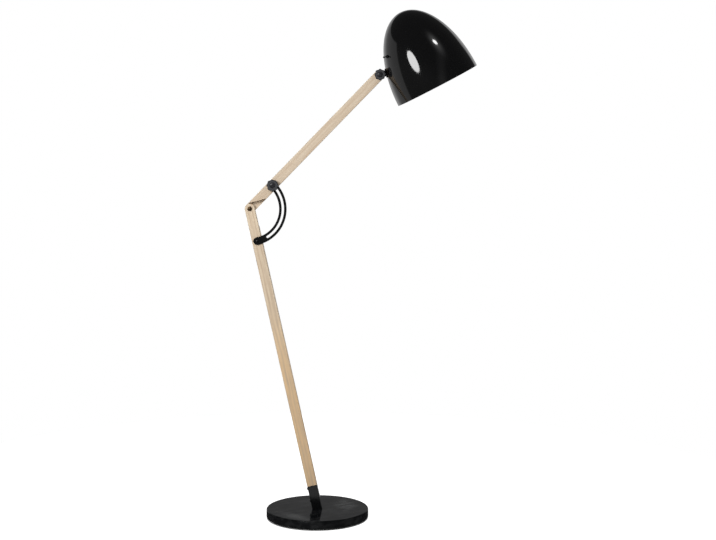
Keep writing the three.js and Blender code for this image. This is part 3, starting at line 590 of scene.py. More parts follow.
def plastic_finish(name, tint, rough):
    """Moulded plastic with a fine spark-eroded grain."""
    f = Finish(name)
    grain = f.noise(900, 2, 0.6)
    lighter = [min(1.0, value * 1.5 + 0.004) for value in tint]
    return f.principled(f.blend(f.spread(grain, 0.4, 0.7), tint, lighter),
                        f.spread(f.noise(120, 3), 0.3, 0.7, rough, rough + 0.1),
                        (grain, 0.06, 0.35), Specular_IOR_Level=0.45)


def gloss_finish():
    """Black gloss paint: the faintest waviness, with a little dust."""
    f = Finish("shade_gloss")
    dust = f.spread(f.noise(2600, 2, 0.6), 0.7, 0.78)
    return f.principled(f.blend(f.product(dust, 0.25), colours.shade, (0.12, 0.12, 0.12)),
                        f.spread(f.noise(20, 3), 0.35, 0.7, 0.05, 0.085),
                        (f.noise(55, 1, 0.4), 0.05, 0.04), Specular_IOR_Level=0.5)


def inside_finish():
    """White satin paint inside the shade."""
    f = Finish("shade_inside")
    peel = f.noise(420, 2, 0.5)
    tint = colours.shade_inside
    darker = [value * 0.93 for value in tint]
    return f.principled(f.blend(f.spread(f.noise(18, 3), 0.35, 0.7), tint, darker),
                        f.spread(peel, 0.3, 0.7, 0.4, 0.5), (peel, 0.05, 0.25))


def grainy_finish(name, scale, tint, other, smooth, rough, depth, **inputs):
    """Unglazed ceramic or matt rubber: one fine grain in the tint, the gloss and the relief."""
    f = Finish(name)
    grain = f.noise(scale, 3, 0.6)
    return f.principled(f.blend(grain, tint, other), f.spread(grain, 0.3, 0.7, smooth, rough),
                        (grain, depth, 0.4), **inputs)


def opal_finish():
    """Opal glass bulb: a milky body under a clear skin."""
    f = Finish("opal_glass")
    milk = f.noise(40, 2, 0.5)
    base = f.blend(f.spread(milk, 0.35, 0.65), (0.9, 0.89, 0.86), (0.86, 0.85, 0.82))
    return f.principled(base, f.spread(milk, 0.3, 0.7, 0.12, 0.2), Subsurface_Weight=0.35,
                        Subsurface_Radius=(0.01, 0.01, 0.009), Coat_Weight=0.4,
                        Coat_Roughness=0.05)


def fibre_finish():
    """Pressed fibre washers: dark with short paler threads."""
    f = Finish("pressed_fibre")
    threads = f.spread(f.noise(1400, 4, 0.7, f.stretch(f.here, (1, 0.3, 1))), 0.5, 0.75)
    return f.principled(f.blend(threads, (0.03, 0.024, 0.018), (0.11, 0.085, 0.06)), 0.9,
                        (threads, 0.05, 0.5))


# The slot of a piece whose first look it is, the function that makes it and what that is given
LOOKS = {
    "stone": ("base_stone", stone_finish),
    "felt": ("pad_felt", felt_finish),
    "lower_wood": ("arm_wood", lower_wood),
    "upper_wood": ("arm_wood", upper_wood),
    "steel": ("black_steel", steel_finish, "black_steel", 0.24, 0.34, 0.35),
    "quadrant": ("black_steel", steel_finish, "quadrant_steel", 0.26, 0.36, 0.2),
    "lever": ("black_steel", steel_finish, "lever_steel", 0.42, 0.52, 0.12),
    "socket": ("black_steel", steel_finish, "socket_steel", 0.13, 0.19, 0.4),
    "bronze": ("bronze_steel", lambda: metal_finish(
        "bronze_plate", colours.bronze, (0.07, 0.048, 0.028), 0.42)),
    "zinc": ("zinc_steel", lambda: metal_finish(
        "zinc_plate", colours.zinc, (0.42, 0.43, 0.45), 0.26)),
    "brass": ("brass", lambda: metal_finish(
        "turned_brass", colours.brass, (0.42, 0.3, 0.13), 0.25)),
    "knob": ("knob_plastic", lambda: plastic_finish("knob_plastic", colours.knob, 0.42)),
    "hub": (None, plastic_finish, "knob_hub", (0.012, 0.012, 0.014), 0.3),
    # painted shade: the grip's sides are darker than its face, standing in for the light that the
    # face catches
    "flank": (None, plastic_finish, "knob_flank", (0.011, 0.011, 0.012), 0.36),
    "holder": ("holder_plastic", plastic_finish, "holder_plastic", (0.02, 0.02, 0.021), 0.35),
    "gloss": ("shade_gloss", gloss_finish),
    "inside": (None, inside_finish),
    "ceramic": (None, grainy_finish, "holder_ceramic_body", 1300, (0.8, 0.78, 0.73),
                (0.7, 0.67, 0.62), 0.45, 0.6, 0.04),
    "opal": ("bulb_glass", opal_finish),
    "rubber": ("rubber", lambda: grainy_finish(
        "lead_rubber", 1500, (0.012, 0.012, 0.013), (0.025, 0.025, 0.026), 0.7, 0.85, 0.05,
        Specular_IOR_Level=0.3)),
    "fibre": ("fibre", fibre_finish),
}
made = {}


def finish(look):
    """The material of a look, made the first time it is asked for."""
    if look not in made:
        _, maker, *values = LOOKS[look]
        made[look] = maker(*values)
    return made[look]


# Shapes shared by several pieces

WASHER = 1.6  # thickness of the steel washers
CLAMP_BORE, PIVOT_BORE = 6.6, 8.6  # diameters, at the two clamped joints and at the elbow


def hexagon(width, sides=SMALL_ROUND):
    """Distance to a hexagon's side: (w / 2) / cos of the angle from the nearest flat."""
    step = TURN / 6
    return width / 2 / np.cos((turn(sides) + step / 2) % step - step / 2)


def dome_rows(radius, base, height, hole=0.0):
    """Quarter ellipse from the hole's edge at the top down to the rim."""
    return [*arc((0, base), (radius, height), math.acos(hole / radius), 0, 10)]


def shank_rows(width, tip, seat=0.0):
    """Plain shank from its seat to its tip, whose edge is cut."""
    cut = 0.5
    return [(width / 2, seat), (width / 2, tip - math.copysign(cut, tip - seat)),
            (width / 2 - cut, tip), (0, tip)]


def button_screw(name, width, height, shank, reach, key):
    """Domed head above z = 0 with a hexagonal socket, and a shank below it."""
    rim, ease, lip_depth, floor = 0.35, 0.1, 0.1, 0.45 * height
    dome = dome_rows(width / 2, rim, height - rim, 0.64 * key)
    lip = dome[0][1]
    return Mesh(name).turned([
        (0, floor), (hexagon(key), floor), (hexagon(key), lip - lip_depth), *dome,
        (width / 2, ease), (width / 2 - ease, 0), *shank_rows(shank, -reach)])


def slotted_screw(name, width, height, shank, reach, kerf, kerf_depth):
    """Domed head above z = 0 with a straight kerf: within the kerf the head's height drops."""
    rim, flank, lowest = 0.4, 0.12, 0.2
    share = np.linspace(0, 1, 25)[:, None]
    r = width / 2 * share
    rise = rim + (height - rim) * np.sqrt(1 - share ** 2)
    inside = np.clip((kerf / 2 - np.abs(r * np.sin(turn(ROUND)))) / flank + 0.5, 0, 1)
    top = zip(r, np.maximum(rise - inside * kerf_depth, lowest))
    return Mesh(name).turned([*top, (width / 2, 0), *shank_rows(shank, -reach)], ROUND)


def washer(name, bore, width, bottom, top):
    """Flat ring with eased outer edges."""
    inner, outer, ease = bore / 2, width / 2, 0.15
    return Mesh(name).turned(ring([
        (inner, bottom), (outer - ease, bottom), (outer, bottom + ease),
        (outer, top - ease), (outer - ease, top), (inner, top)]))


def hexagon_rows(width, bottom, top, sides=SMALL_ROUND):
    """Outside of a hexagonal nut whose corners are cut by cones at both ends."""
    across = hexagon(width, sides)
    flat = 0.96 * width / 2
    cut = (across - flat) * math.tan(math.radians(30))
    return [(flat, bottom), (across, bottom + cut), (across, top - cut), (flat, top)]


def nut(name, width, bore, bottom, height):
    """Hexagonal nut with a plain bore."""
    top = bottom + height
    return Mesh(name).turned(ring([
        (bore / 2, bottom), *hexagon_rows(width, bottom, top), (bore / 2, top)]))


def thread_rows(heights, radius, depth, pitch, sides):
    """Outside of a thread: r = R - d (1 + cos(2 pi z / pitch - t)) / 2."""
    return [(radius - depth * (1 + np.cos(TURN * z / pitch - turn(sides))) / 2, z)
            for z in heights]


def rounded_outline(half_x, half_y, radius, steps=6):
    """Rounded rectangle, anticlockwise from the right side's lower end."""
    x, y = half_x - radius, half_y - radius
    return np.concatenate([arc(centre, radius, (i - 1) * QUARTER, i * QUARTER, steps)
                           for i, centre in enumerate([(x, -y), (x, y), (-x, y), (-x, -y)])])


# Foot

def stone_slab():
    """Turned slab: flat faces, eased edges and a recess for the nut below."""
    bottom, top, ease = foot.pad_thickness + SEAT, stone_top(), foot.stone_edge
    edge = foot.base_diameter / 2 - SKIN - ease
    bore, recess, ceiling = 6.3, 22, bottom + 13
    return Mesh("stone_slab").turned(ring([
        (recess, bottom), (60, bottom), (edge - 2, bottom),
        *arc((edge, bottom + ease), ease, -QUARTER, 0, 6),
        *arc((edge, top - ease), ease, 0, QUARTER, 6),
        (edge - 2, top), (60, top), (bore, top), (bore, ceiling), (recess, ceiling)]), 256)


def felt_disc():
    """Turned disc with a soft edge."""
    radius = foot.base_diameter / 2 - foot.pad_inset - SKIN
    top = foot.pad_thickness
    rim = arc((radius - top / 2, top / 2), top / 2, -QUARTER, QUARTER, 6)
    return Mesh("felt_disc").turned(
        [(0, 0), (radius / 2, 0), *rim, (radius / 2, top), (0, top)], 192)


def steel_socket():
    """Square tube whose lower end is cut level: its z there is (gap - x sin lean) / cos lean."""
    half, wall, top, ease = arms.width / 2, foot.socket_wall, foot.socket_length, 0.35
    lean, sharpest = arms.lower_lean, 0.3

    def around(inset, height=None):
        corner = max(foot.socket_corner - inset, sharpest)
        outline = rounded_outline(half - inset, half - inset, corner)
        cut = (SEAT - outline[:, 0] * math.sin(lean)) / math.cos(lean)
        return level(outline, cut if height is None else height)

    return Mesh("steel_socket").grid(ring([
        around(wall), around(0), around(0, top - ease), around(0.3 * ease, top - 0.3 * ease),
        around(ease, top), around(wall - ease, top), around(wall, top - ease)]), True)


# Arms. Both are made about the elbow, with z along the stick and the lap's tongue at y > 0.

EDGE_STEPS = 6
LAP_FACE = 0.8  # from the middle of the stick to the lap's face
TONGUE, FRICTION = 5, 1  # thickness of the bracket's tongue and of a friction washer
FORK_FACE = TONGUE / 2 + FRICTION + 2 * SEAT  # from the middle of the stick to a prong
FORK_DEPTH = 13
TENON_GAP = 18.3  # from the stone to the tenon's end
PLAIN_START = 60  # from the elbow to where the stick's plain part starts


def tongue_rows(start):
    """Rows (inset, y) from a tongue's flat side at y = start to its outer face."""
    half, edge = arms.width / 2, arms.edge
    return [*[(0.0, y) for y in (LAP_FACE, FORK_FACE) if y >= start],
            *arc((edge, half - edge), (-edge, edge), 0, QUARTER, EDGE_STEPS)]


def stick_section():
    """Rounded square of the stick, anticlockwise, with points where the lap and fork start."""
    half = arms.width / 2
    rows = tongue_rows(LAP_FACE)
    far_right = [(half - inset, y) for inset, y in rows]
    near_left = [(inset - half, -y) for inset, y in rows[1:]]
    far_left, near_right = ([(-x, y) for x, y in reversed(side)]
                            for side in (far_right, near_left))
    return np.array([*far_right, (0, half), *far_left, *near_left, (0, -half), *near_right])


def round_end(start, shoulder, bore, side=1):
    """The two grids of a tongue with a round end about the origin.

    Its outline runs down the left side from the shoulder, round half a turn and up the right side.
    Each row of the outline is moved in by an inset; the last rows join it to the bore.
    shoulder(x) is the height at which the tongue meets the stick. side -1 mirrors it in y.
    """
    half = arms.width / 2
    t = np.concatenate([np.linspace(0, 0.5, 4), np.linspace(0.5, 1, 9)[1:]])
    late = np.clip(2 * t - 1, 0, 1)

    def half_turn(radius):
        return arc((0, 0), radius, math.pi, TURN, 48)[1:-1]

    def outline(inset):
        x = half - inset
        width = x - SKIN * late
        left = np.stack([-width, shoulder(-x) * (1 - t)], -1)
        right = np.stack([width, shoulder(x) * (1 - t)], -1)
        return np.concatenate([left, half_turn(x - SKIN), right[::-1]])

    middle = shoulder(0)
    down = np.stack([0 * t, middle + (bore - middle) * 2 * t], -1)
    bend = bore * np.stack([np.cos(QUARTER * (1 + late)), np.sin(QUARTER * (1 + late))], -1)
    left = np.where(t[:, None] < 0.5, down, bend)
    hole = np.concatenate([left, half_turn(bore), (left * [-1, 1])[::-1]])
    rows = [(hole, start), *[(outline(inset), y) for inset, y in tongue_rows(start)], (hole, half)]
    wall = [(hole[3:-3], y) for y in (start, half)]
    return [np.stack([upright(points, side * y) for points, y in part]) for part in (rows, wall)]


def wooden_arm(name, far_end):
    """Stick with a half-lapped round end; far_end closes its other end.

    The lap's shoulder slants: its height at x is (reach + x cos a) / sin a.
    """
    mesh = Mesh(name)
    reach, slant = arms.width / 2 + arms.lap_clearance, arms.shoulder_angle

    def shoulder(x):
        return (reach + x * math.cos(slant)) / math.sin(slant)

    for points in round_end(LAP_FACE, shoulder, PIVOT_BORE / 2):
        mesh.grid(points)
    section = stick_section()
    first = level(section, shoulder(section[:, 0]))
    near = np.flatnonzero(section[:, 1] <= LAP_FACE)
    gap = int(np.argmax(np.diff(near) > 1)) + 1
    mesh.cap([*first[near[gap:]], *first[near[:gap]], (0, LAP_FACE, shoulder(0))])
    return mesh.grid([first, level(section, PLAIN_START), *far_end(mesh, section)], True)


def tenon_end(mesh, section):
    """Foot of the lower arm: a shoulder above the socket and a thinner tenon inside it."""
    half, ease = arms.width / 2, 0.4
    seat = arms.lower_length - foot.socket_length - SEAT
    small = section * (half - foot.socket_wall - SEAT) / half
    tip = level(small, arms.lower_length - TENON_GAP)
    mesh.cap(tip)
    return [level(section, seat - ease), level(section * (1 - ease / half), seat),
            level(small, seat), tip]


def fork_end(mesh, section):
    """Head of the upper arm: two prongs with round ends about the tilt axis, a flat between."""
    half, top = arms.width / 2, arms.upper_length
    for side in (1, -1):
        for points in round_end(FORK_FACE, lambda x: FORK_DEPTH, CLAMP_BORE / 2, side):
            mesh.grid(points * [1, 1, -1] + [0, 0, top])
    right = [(half, -FORK_FACE), (half, LAP_FACE), (half, FORK_FACE), (0, FORK_FACE)]
    left = [(-half, FORK_FACE), (-half, LAP_FACE), (-half, -FORK_FACE), (0, -FORK_FACE)]
    mesh.cap(level(np.array(right + left), top - FORK_DEPTH))
    return [level(section, top - FORK_DEPTH)]


# Hardware: each piece stands in a frame whose z points to the near side

def quadrant_loop(half_width, start):
    """Outline of a curved band about the elbow: outer arc, round end, inner arc, round end."""
    radius = clamp.quadrant_radius
    a, b = start - QUARTER, arms.upper_rise - arms.lower_lean
    end_a, end_b = ((radius * math.cos(t), radius * math.sin(t)) for t in (a, b))
    parts = (arc((0, 0), radius + half_width, a, b, 72),
             arc(end_b, half_width, b, b + math.pi, 20),
             arc((0, 0), radius - half_width, b, a, 72),
             arc(end_a, half_width, a + math.pi, a + TURN, 20))
    return np.concatenate([part[:-1] for part in parts])


def slotted_quadrant():
    """Band between the outer loop and the slot's loop, with both loops' edges bevelled."""
    half, slot, ease = clamp.quadrant_width / 2, clamp.slot_width / 2, 0.35
    start, far = clamp.slot_start, -arms.width / 2 - SEAT
    near = far - clamp.quadrant_thickness
    rows = ring([(slot + ease, start, near), (half - ease, 0, near), (half, 0, near + ease),
                 (half, 0, far - ease), (half - ease, 0, far), (slot + ease, start, far),
                 (slot, start, far - ease), (slot, start, near + ease)])
    return Mesh("slotted_quadrant").grid(
        [upright(quadrant_loop(width, begin), y) for width, begin, y in rows], True)


def lobed_knob(name, width):
    """Grip of radius R - dip (1 - cos n t) / 2 with rounded edges, a plain neck and a domed hub."""
    sides, edge = 192, 1.5
    neck, base, top = 8.5, 4, 13
    hub, rise, groove = 7.5, 2.2, 0.45
    bore, bore_depth = 5.3, 10.3
    lobes = clamp.lobe_depth * (1 - np.cos(clamp.knob_lobes * turn(sides))) / 2
    grip = width / 2 - SKIN - lobes - edge
    rows = [(0, bore_depth), (bore, bore_depth), (bore, 0), (neck - 0.3, 0), (neck, 0.3),
            (neck, base - 0.4), (neck + 0.4, base)]
    for z, angles in ((base + edge, (-QUARTER, 0)), (top - edge, (0, QUARTER))):
        rows += [(grip + edge * math.cos(a), z + edge * math.sin(a))
                 for a in np.linspace(*angles, 6)]
    face = [rows[-1], (hub + 0.9, top), (hub + 0.35, top - groove)]
    dome = [*arc((0, top), (hub, rise), 0, 1.28, 11)]
    lip = dome[-1][1]
    cap = [face[-1], (hub, top - groove), *dome, (1.9, lip - 0.15), (1.8, lip - 0.8),
           (0, lip - 0.8)]
    # The grip's sides take the third finish, darker than the face as painted shade.
    return Mesh(name).turned(rows, sides, 2).turned(face, sides).turned(cap, sides, 1)


def washer_face():
    """From the middle of an arm to the outer face of a washer on it."""
    return arms.width / 2 + WASHER + 2 * SEAT


def clamp_bolt(name, seat):
    """Turned: a domed head on the far side and a shank that ends in the knob's insert."""
    face, width, height, ease, reach = -washer_face(), 15, 3.2, 0.2, 9
    return Mesh(name).turned([
        *dome_rows(width / 2, face, -height)[:-1], (width / 2, face - ease),
        (width / 2 - ease, face), *shank_rows(clamp.bolt_diameter, seat + reach, face)])


def cap_nut():
    """Hexagonal nut with a domed cap away from the arm and a blind bore."""
    width, height, dome_radius, dome_height = 13, 6.5, 5.5, 5
    top, bore = -washer_face(), PIVOT_BORE / 2
    middle = top - height
    ceiling = middle - 0.3
    return Mesh("cap_nut").turned([
        *dome_rows(dome_radius, middle, -dome_height), *hexagon_rows(width, middle, top, ROUND),
        (bore, top), (bore, ceiling), (0, ceiling)], ROUND)


# Head. Heights in the shade are above its rim.

STRAP, STRAP_HALF = 2, 12.5  # thickness of the strap and half its width
HOLDER_BORE, HOLDER_CAP = 18, 20  # radius inside the lamp holder and height of its cap


def off_shade(latitude, offset):
    """Radius and height of the spheroid's point (a cos, b sin) moved out along its normal."""
    a, b = head.radius, head.height
    c, s = np.cos(latitude), np.sin(latitude)
    size = np.sqrt((b * c) ** 2 + (a * s) ** 2)
    return a * c + offset * b * c / size, b * s + offset * a * s / size


def latitude_of(height):
    """Latitude t at which b sin t is the height."""
    return math.asin(height / head.height)


def saddle(mesh):
    """Pad that follows the shade: rings of a rounded square are laid on the spheroid."""
    middle = latitude_of(head.bracket_height)
    radius = wall_point(head.bracket_height)[0]
    step = math.hypot(head.radius * math.sin(middle), head.height * math.cos(middle))
    half, corner, ease = 13, 3, 0.5
    low, high = SEAT, SEAT + 2.5
    outline = rounded_outline(half, half, corner, 8)
    flat = np.linspace(0, 1, 7) * (half - ease) / half
    bend = [(1 - ease * (1 - math.cos(a)) / half, high - ease + ease * math.sin(a))
            for a in (0.5, 1.0)]
    rings = [*[(share, low) for share in flat], (1, low + ease), (1, high - ease), *bend,
             *[(share, high) for share in flat[::-1]]]
    rows = []
    for share, offset in rings:
        azimuth = outline[:, 0] * share / radius
        r, z = off_shade(middle + outline[:, 1] * share / step, offset)
        rows.append(np.stack([-r * np.cos(azimuth), r * np.sin(azimuth), z], -1))
    return mesh.grid(rows, True)


def bracket_tongue(mesh):
    """Plate with a round end about the tilt axis, eased edges, a bore and a foot in the saddle.

    Its half width goes from the end's radius to the foot's with (x / reach) to the power 0.8.
    """
    half, ease, end, bore = TONGUE / 2, 0.4, 11, CLAMP_BORE / 2
    reach, flare = 16.7, 8.5
    radius, out, up = wall_point(head.bracket_height)
    pivot = Place((-(radius + head.standoff * out), 0, head.bracket_height + head.standoff * up),
                  (out, 0, -up), (0, 1, 0), (up, 0, out))

    def outline(inset):
        r = end - inset
        x = np.linspace(0, reach, 9)[1:]
        side = r + (flare - inset - r) * (x / reach) ** 0.8
        foot_row = [(reach, 0.2 - flare), (reach, 0), (reach, flare - 0.2)]
        return np.concatenate([np.stack([x, side], -1)[::-1],
                               arc((0, 0), r, QUARTER, 3 * QUARTER, 40),
                               np.stack([x, -side], -1), foot_row])

    round_hole = arc((0, 0), bore, 0.25, TURN - 0.25, len(outline(0)) - 4)
    hole = np.concatenate([round_hole, arc((0, 0), bore, -0.125, 0.125, 2)])
    rows = [(hole, -half), (outline(ease), -half), (outline(0), ease - half),
            (outline(0), half - ease), (outline(ease), half), (hole, half)]
    return mesh.grid([pivot.put(upright(loop, y)) for loop, y in ring(rows)], True)


def shade_shell():
    """Half spheroid (a cos t, b sin t) turned about the axis, with a rounded rim and an inside."""
    outer = (head.radius - SKIN, head.height - SKIN)
    inner = (head.radius - head.wall, head.height - head.wall)
    half = (outer[0] - inner[0]) / 2
    rim = arc((inner[0] + half, half), half, 0, -math.pi, 8)
    start = math.asin(half / head.height)
    outside = arc((0, 0), outer, QUARTER, start, 96)
    inside = arc((0, 0), inner, start, QUARTER, 96)
    shell = Mesh("domed_shade").turned([*outside, *rim[1:5]], 192)
    return shell.turned([*rim[4:-1], *inside], 192, 1)


def strap_path(depth):
    """Radii and heights along the strap: up the wall, round a quadratic curve and across.

    With them comes how closely each point follows the wall, 1 on the wall and 0 on the bar.
    depth is measured from the strap's outer face.
    """
    steps, offset = 24, -head.wall - SEAT - depth
    foot_drop, bend_drop, bend_reach = 13, 9, 8
    bar = head.strap_height - depth
    latitudes = np.linspace(latitude_of(head.bracket_height - foot_drop),
                            latitude_of(bar - bend_drop), steps)
    wall = np.stack(off_shade(latitudes, offset), -1)
    along = wall[-1] - wall[-2]
    corner = wall[-1] + along * (bar - wall[-1, 1]) / along[1]
    end = corner - [bend_reach, 0]
    u = np.linspace(0, 1, 9)[1:, None]
    bend = wall[-1] * (1 - u) ** 2 + 2 * corner * u * (1 - u) + end * u ** 2
    across = np.linspace(end, (-STRAP_HALF, bar), 12)[1:]
    follow = np.concatenate([np.ones(steps), 1 - u[:, 0], np.zeros(len(across))])
    return np.concatenate([wall, bend, across]), follow


def holder_strap():
    """Flat strip carried along its path; on the wall its middle sags by r - sqrt(r^2 - y^2)."""
    (outer, follow), (inner, _) = strap_path(0), strap_path(STRAP)
    half, ease = STRAP_HALF, 0.3

    def row(lift, y):
        r, z = (outer + (inner - outer) * lift).T
        sag = (r - np.sqrt(np.maximum(r ** 2 - y ** 2, 0))) * follow
        return np.stack([sag - r, y + 0 * r, z], -1)

    across = np.linspace(ease - half, half - ease, 13)
    strip = np.stack(ring([
        *[row(0, y) for y in across], row(0.15, half), row(0.85, half),
        *[row(1, y) for y in across[::-1]], row(0.85, -half), row(0.15, -half)]))
    return Mesh("strap_strip").grid(strip).cap(strip[:-1, 0]).cap(strip[:-1, -1])


def holder_base():
    """Height of the lower edge of the lamp holder's cap."""
    return head.strap_height - STRAP - SEAT - HOLDER_CAP


def holder_cap():
    """Turned cup whose top edge is a quarter of a circle."""
    low = holder_base()
    top = low + HOLDER_CAP
    return Mesh("cap_shell").turned(ring([
        (20, low + 0.2), (20, low + 3), (19.6, low + 3.4),
        *arc((12.8, top - 7), (6.8, 7), 0, QUARTER, 12), (5.3, top), (5.3, top - 2),
        *arc((12.8, top - 7), 5, QUARTER, 0, 8), (HOLDER_BORE, low), (19.8, low)]), ROUND)


def holder_skirt():
    """Turned sleeve with a thread round its lower part."""
    top = holder_base() - SEAT
    low = top - 30
    heights = np.linspace(low + 1, top - 8, 90)
    return Mesh("threaded_skirt").turned(ring([
        (HOLDER_BORE, low + 0.3), (18.3, low), (19, low),
        *thread_rows(heights, 20, 0.8, 2.5, ROUND), (19.6, top - 7.5), (20, top - 7),
        (20, top - 0.3), (19.7, top), (HOLDER_BORE, top)]), ROUND)


def holder_ring():
    """Collar with a wide ribbed flange: its edge radius is R - d |sin 18 t|."""
    top, bore, sides = holder_base() - SEAT - 9, 20.3, 288
    edge = 27 - SKIN - 0.5 * np.abs(np.sin(18 * turn(sides)))
    return Mesh("shade_ring").turned(ring([
        (bore, top - 6), (edge - 0.6, top - 6), (edge, top - 5.4), (edge, top - 3.5),
        (edge - 0.7, top - 2.8), (23.2, top - 0.8), (22, top), (bore, top)]), sides)


def bulb_outline(inset):
    """Profile of the glass, drawn in from the outside.

    The neck swells into the ball along a cubic curve that meets both without a corner.
    """
    ceramic_drop, metal_cap = 7, 25
    top = holder_base() - ceramic_drop - metal_cap - 2 * SEAT
    ball, neck, swell, pull = head.bulb_diameter / 2, 12, math.radians(50), 16
    centre = top - head.bulb_length + ball
    join = np.array([ball * math.cos(swell), centre + ball * math.sin(swell)])
    slope = np.array([-math.sin(swell), math.cos(swell)])
    start = np.array([neck, top])
    u = np.linspace(0, 1, 24)[:, None]
    flow = (start * (1 - u) ** 3 + 3 * (start - [0, pull]) * u * (1 - u) ** 2
            + 3 * (join + slope * pull * 0.8) * u ** 2 * (1 - u) + join * u ** 3)
    path = np.concatenate([flow, arc((0, centre), ball, swell, -QUARTER, 48)[1:]])
    along = np.gradient(path, axis=0)
    along /= np.linalg.norm(along, axis=1, keepdims=True)
    inner = path + np.stack([along[:, 1], -along[:, 0]], -1) * inset
    inner[-1, 0] = 0
    return inner


def bulb():
    """Turned glass with an outer and an inner face."""
    return Mesh("bulb_globe").turned([*bulb_outline(0)[::-1], *bulb_outline(1)], ROUND)


def switch_case():
    """Rounded case inside the shade, three terminals, and a threaded bush that passes the wall."""
    top = -(head.wall + 3 * SEAT)
    low, ease = top - 14, 0.6
    outline = rounded_outline(10, 6.5, 1.2)
    small = rounded_outline(10 - ease, 6.5 - ease, 0.7)
    mesh = Mesh("switch_case").grid([
        level(0 * outline, low), level(small, low), level(outline, low + ease),
        level(outline, top - ease), level(small, top), level(0 * outline, top)], True)
    for x in (-6, 0, 6):
        lug = rounded_outline(1.4, 0.4, 0.3, 2) + [x, 0]
        ends = [level(lug, low - 4.5), level(lug, low + 0.2)]
        mesh.grid(ends, True, 1).cap(ends[0], 1).cap(ends[1], 1)
    heights = np.linspace(top + 0.4, 5.1, 40)
    return mesh.turned([
        (0, top - 0.2), (2.7, top - 0.2), *thread_rows(heights, 3 - SKIN, 0.22, 0.75, SMALL_ROUND),
        (2.7, 5.4), (2.2, 5.4), (2, 5.2), (2.2, 3.5), (2.2, 1.3), (0, 1.3)], slot=1)


def switch_lever():
    """Turned lever: a round root, a stem that widens to the tip, and a ball."""
    root, ball, stem, tip = 1.5, 2.7 - SKIN, 1.1, 8.8
    low = QUARTER - math.asin(stem / root)
    high = math.asin(stem * 1.15 / ball) - QUARTER
    return Mesh("switch_toggle").turned([
        *arc((0, 0), root, -QUARTER, low, 12), *arc((0, tip), ball, high, QUARTER, 24)])


def grommet():
    """Turned rubber bush with a flange on both sides of the wall."""
    inside, bore, neck = -(head.wall + 3 * SEAT), 3.2, 4.7
    return Mesh("lead_bush").turned(ring([
        (bore, inside - 1.6), (3.5, inside - 2), (7, inside - 2), (7.5, inside - 1.5),
        (7.5, inside), (neck, inside), (neck, SEAT),
        *arc((6.3, SEAT + 0.7), (1.2, 1.1), -QUARTER, QUARTER, 8),
        (3.8, SEAT + 1.8), (bore, SEAT + 1.2)]))


# Operators

class LampOperator:
    """What all the lamp's operators share."""
    bl_options = {"REGISTER", "UNDO"}


class LAMP_OT_base(LampOperator, bpy.types.Operator):
    """Make the stone slab and the felt pad below it"""
    bl_idname = "lamp.base"
    bl_label = "Stone Base"

    def execute(self, context):
        add_piece(stone_slab(), ROOM, "stone", "stand", "base_stone")
        add_piece(felt_disc(), ROOM, "felt", "stand", "base_pad")
        return {"FINISHED"}


class LAMP_OT_foot(LampOperator, bpy.types.Operator):
    """Make the steel socket and its two screws, and finish the fixings hidden in the foot"""
    bl_idname = "lamp.foot"
    bl_label = "Foot Socket"

    def execute(self, context):
        place = lower_place()
        add_piece(steel_socket(), place, "socket", "stand", "foot_socket")
        for end, height in (("low", foot.screw_low), ("high", foot.screw_high)):
            at = place.moved(-arms.width / 2 - SEAT, 0, height)
            add_piece(button_screw(f"socket_screw_{end}", width=8.5, height=3, shank=4, reach=16,
                                   key=3),
                      at.turned((0, 0, 1), (0, 1, 0), (-1, 0, 0)), "steel", "stand",
                      f"foot_screw_{end}")
        dress("steel", "foot_block")
        dress("zinc", "foot_washer", "foot_nut", "foot_stud")
        return {"FINISHED"}


class LAMP_OT_arms(LampOperator, bpy.types.Operator):
    """Make the lower and the upper wooden arm with their lapped, round ends"""
    bl_idname = "lamp.arms"
    bl_label = "Wooden Arms"

    def execute(self, context):
        down = elbow_place().turned((1, 0, 0), (0, -1, 0), (0, 0, -1))
        add_piece(wooden_arm("lower_stick", tenon_end), down, "lower_wood", "stand", "lower_arm")
        add_piece(wooden_arm("upper_stick", fork_end), upper_place(), "upper_wood", "upper arm",
                  "upper_arm")
        return {"FINISHED"}


class LAMP_OT_elbow(LampOperator, bpy.types.Operator):
    """Make the elbow's bolt, spacer, washer and cap nut"""
    bl_idname = "lamp.elbow"
    bl_label = "Elbow Bolt"

    def execute(self, context):
        axis = elbow_place().near_side()
        seat, spacer = arms.width / 2 + SEAT, arms.spacer_thickness / 2
        bolt = Mesh("pivot_bolt").turned([
            *dome_rows(7, 0.4, 3.6), (7, 0.15), (6.8, 0), *shank_rows(8, -38)])
        add_piece(bolt, axis.moved(0, 0, seat), "bronze", "stand", "elbow_bolt")
        add_piece(washer("pivot_spacer", PIVOT_BORE, 24, -spacer, spacer), axis, "fibre", "stand",
                  "elbow_spacer")
        add_piece(washer("pivot_washer", PIVOT_BORE, 20, -seat - WASHER, -seat), axis, "zinc",
                  "stand", "elbow_washer")
        add_piece(cap_nut(), axis, "bronze", "stand", "elbow_cap_nut")
        return {"FINISHED"}


class LAMP_OT_quadrant(LampOperator, bpy.types.Operator):
    """Make the slotted quadrant and the screw that holds it"""
    bl_idname = "lamp.quadrant"
    bl_label = "Slotted Quadrant"

    def execute(self, context):
        place = elbow_place()
        seat = arms.width / 2 + clamp.quadrant_thickness + 2 * SEAT
        add_piece(slotted_quadrant(), place, "quadrant", "stand", "quadrant")
        screw = slotted_screw("quadrant_fixing", width=9, height=2.6, shank=4, reach=18, kerf=1.2,
                              kerf_depth=1.1)
        add_piece(screw, place.near_side(-clamp.quadrant_radius).moved(0, 0, seat), "steel",
                  "stand", "quadrant_screw")
        return {"FINISHED"}


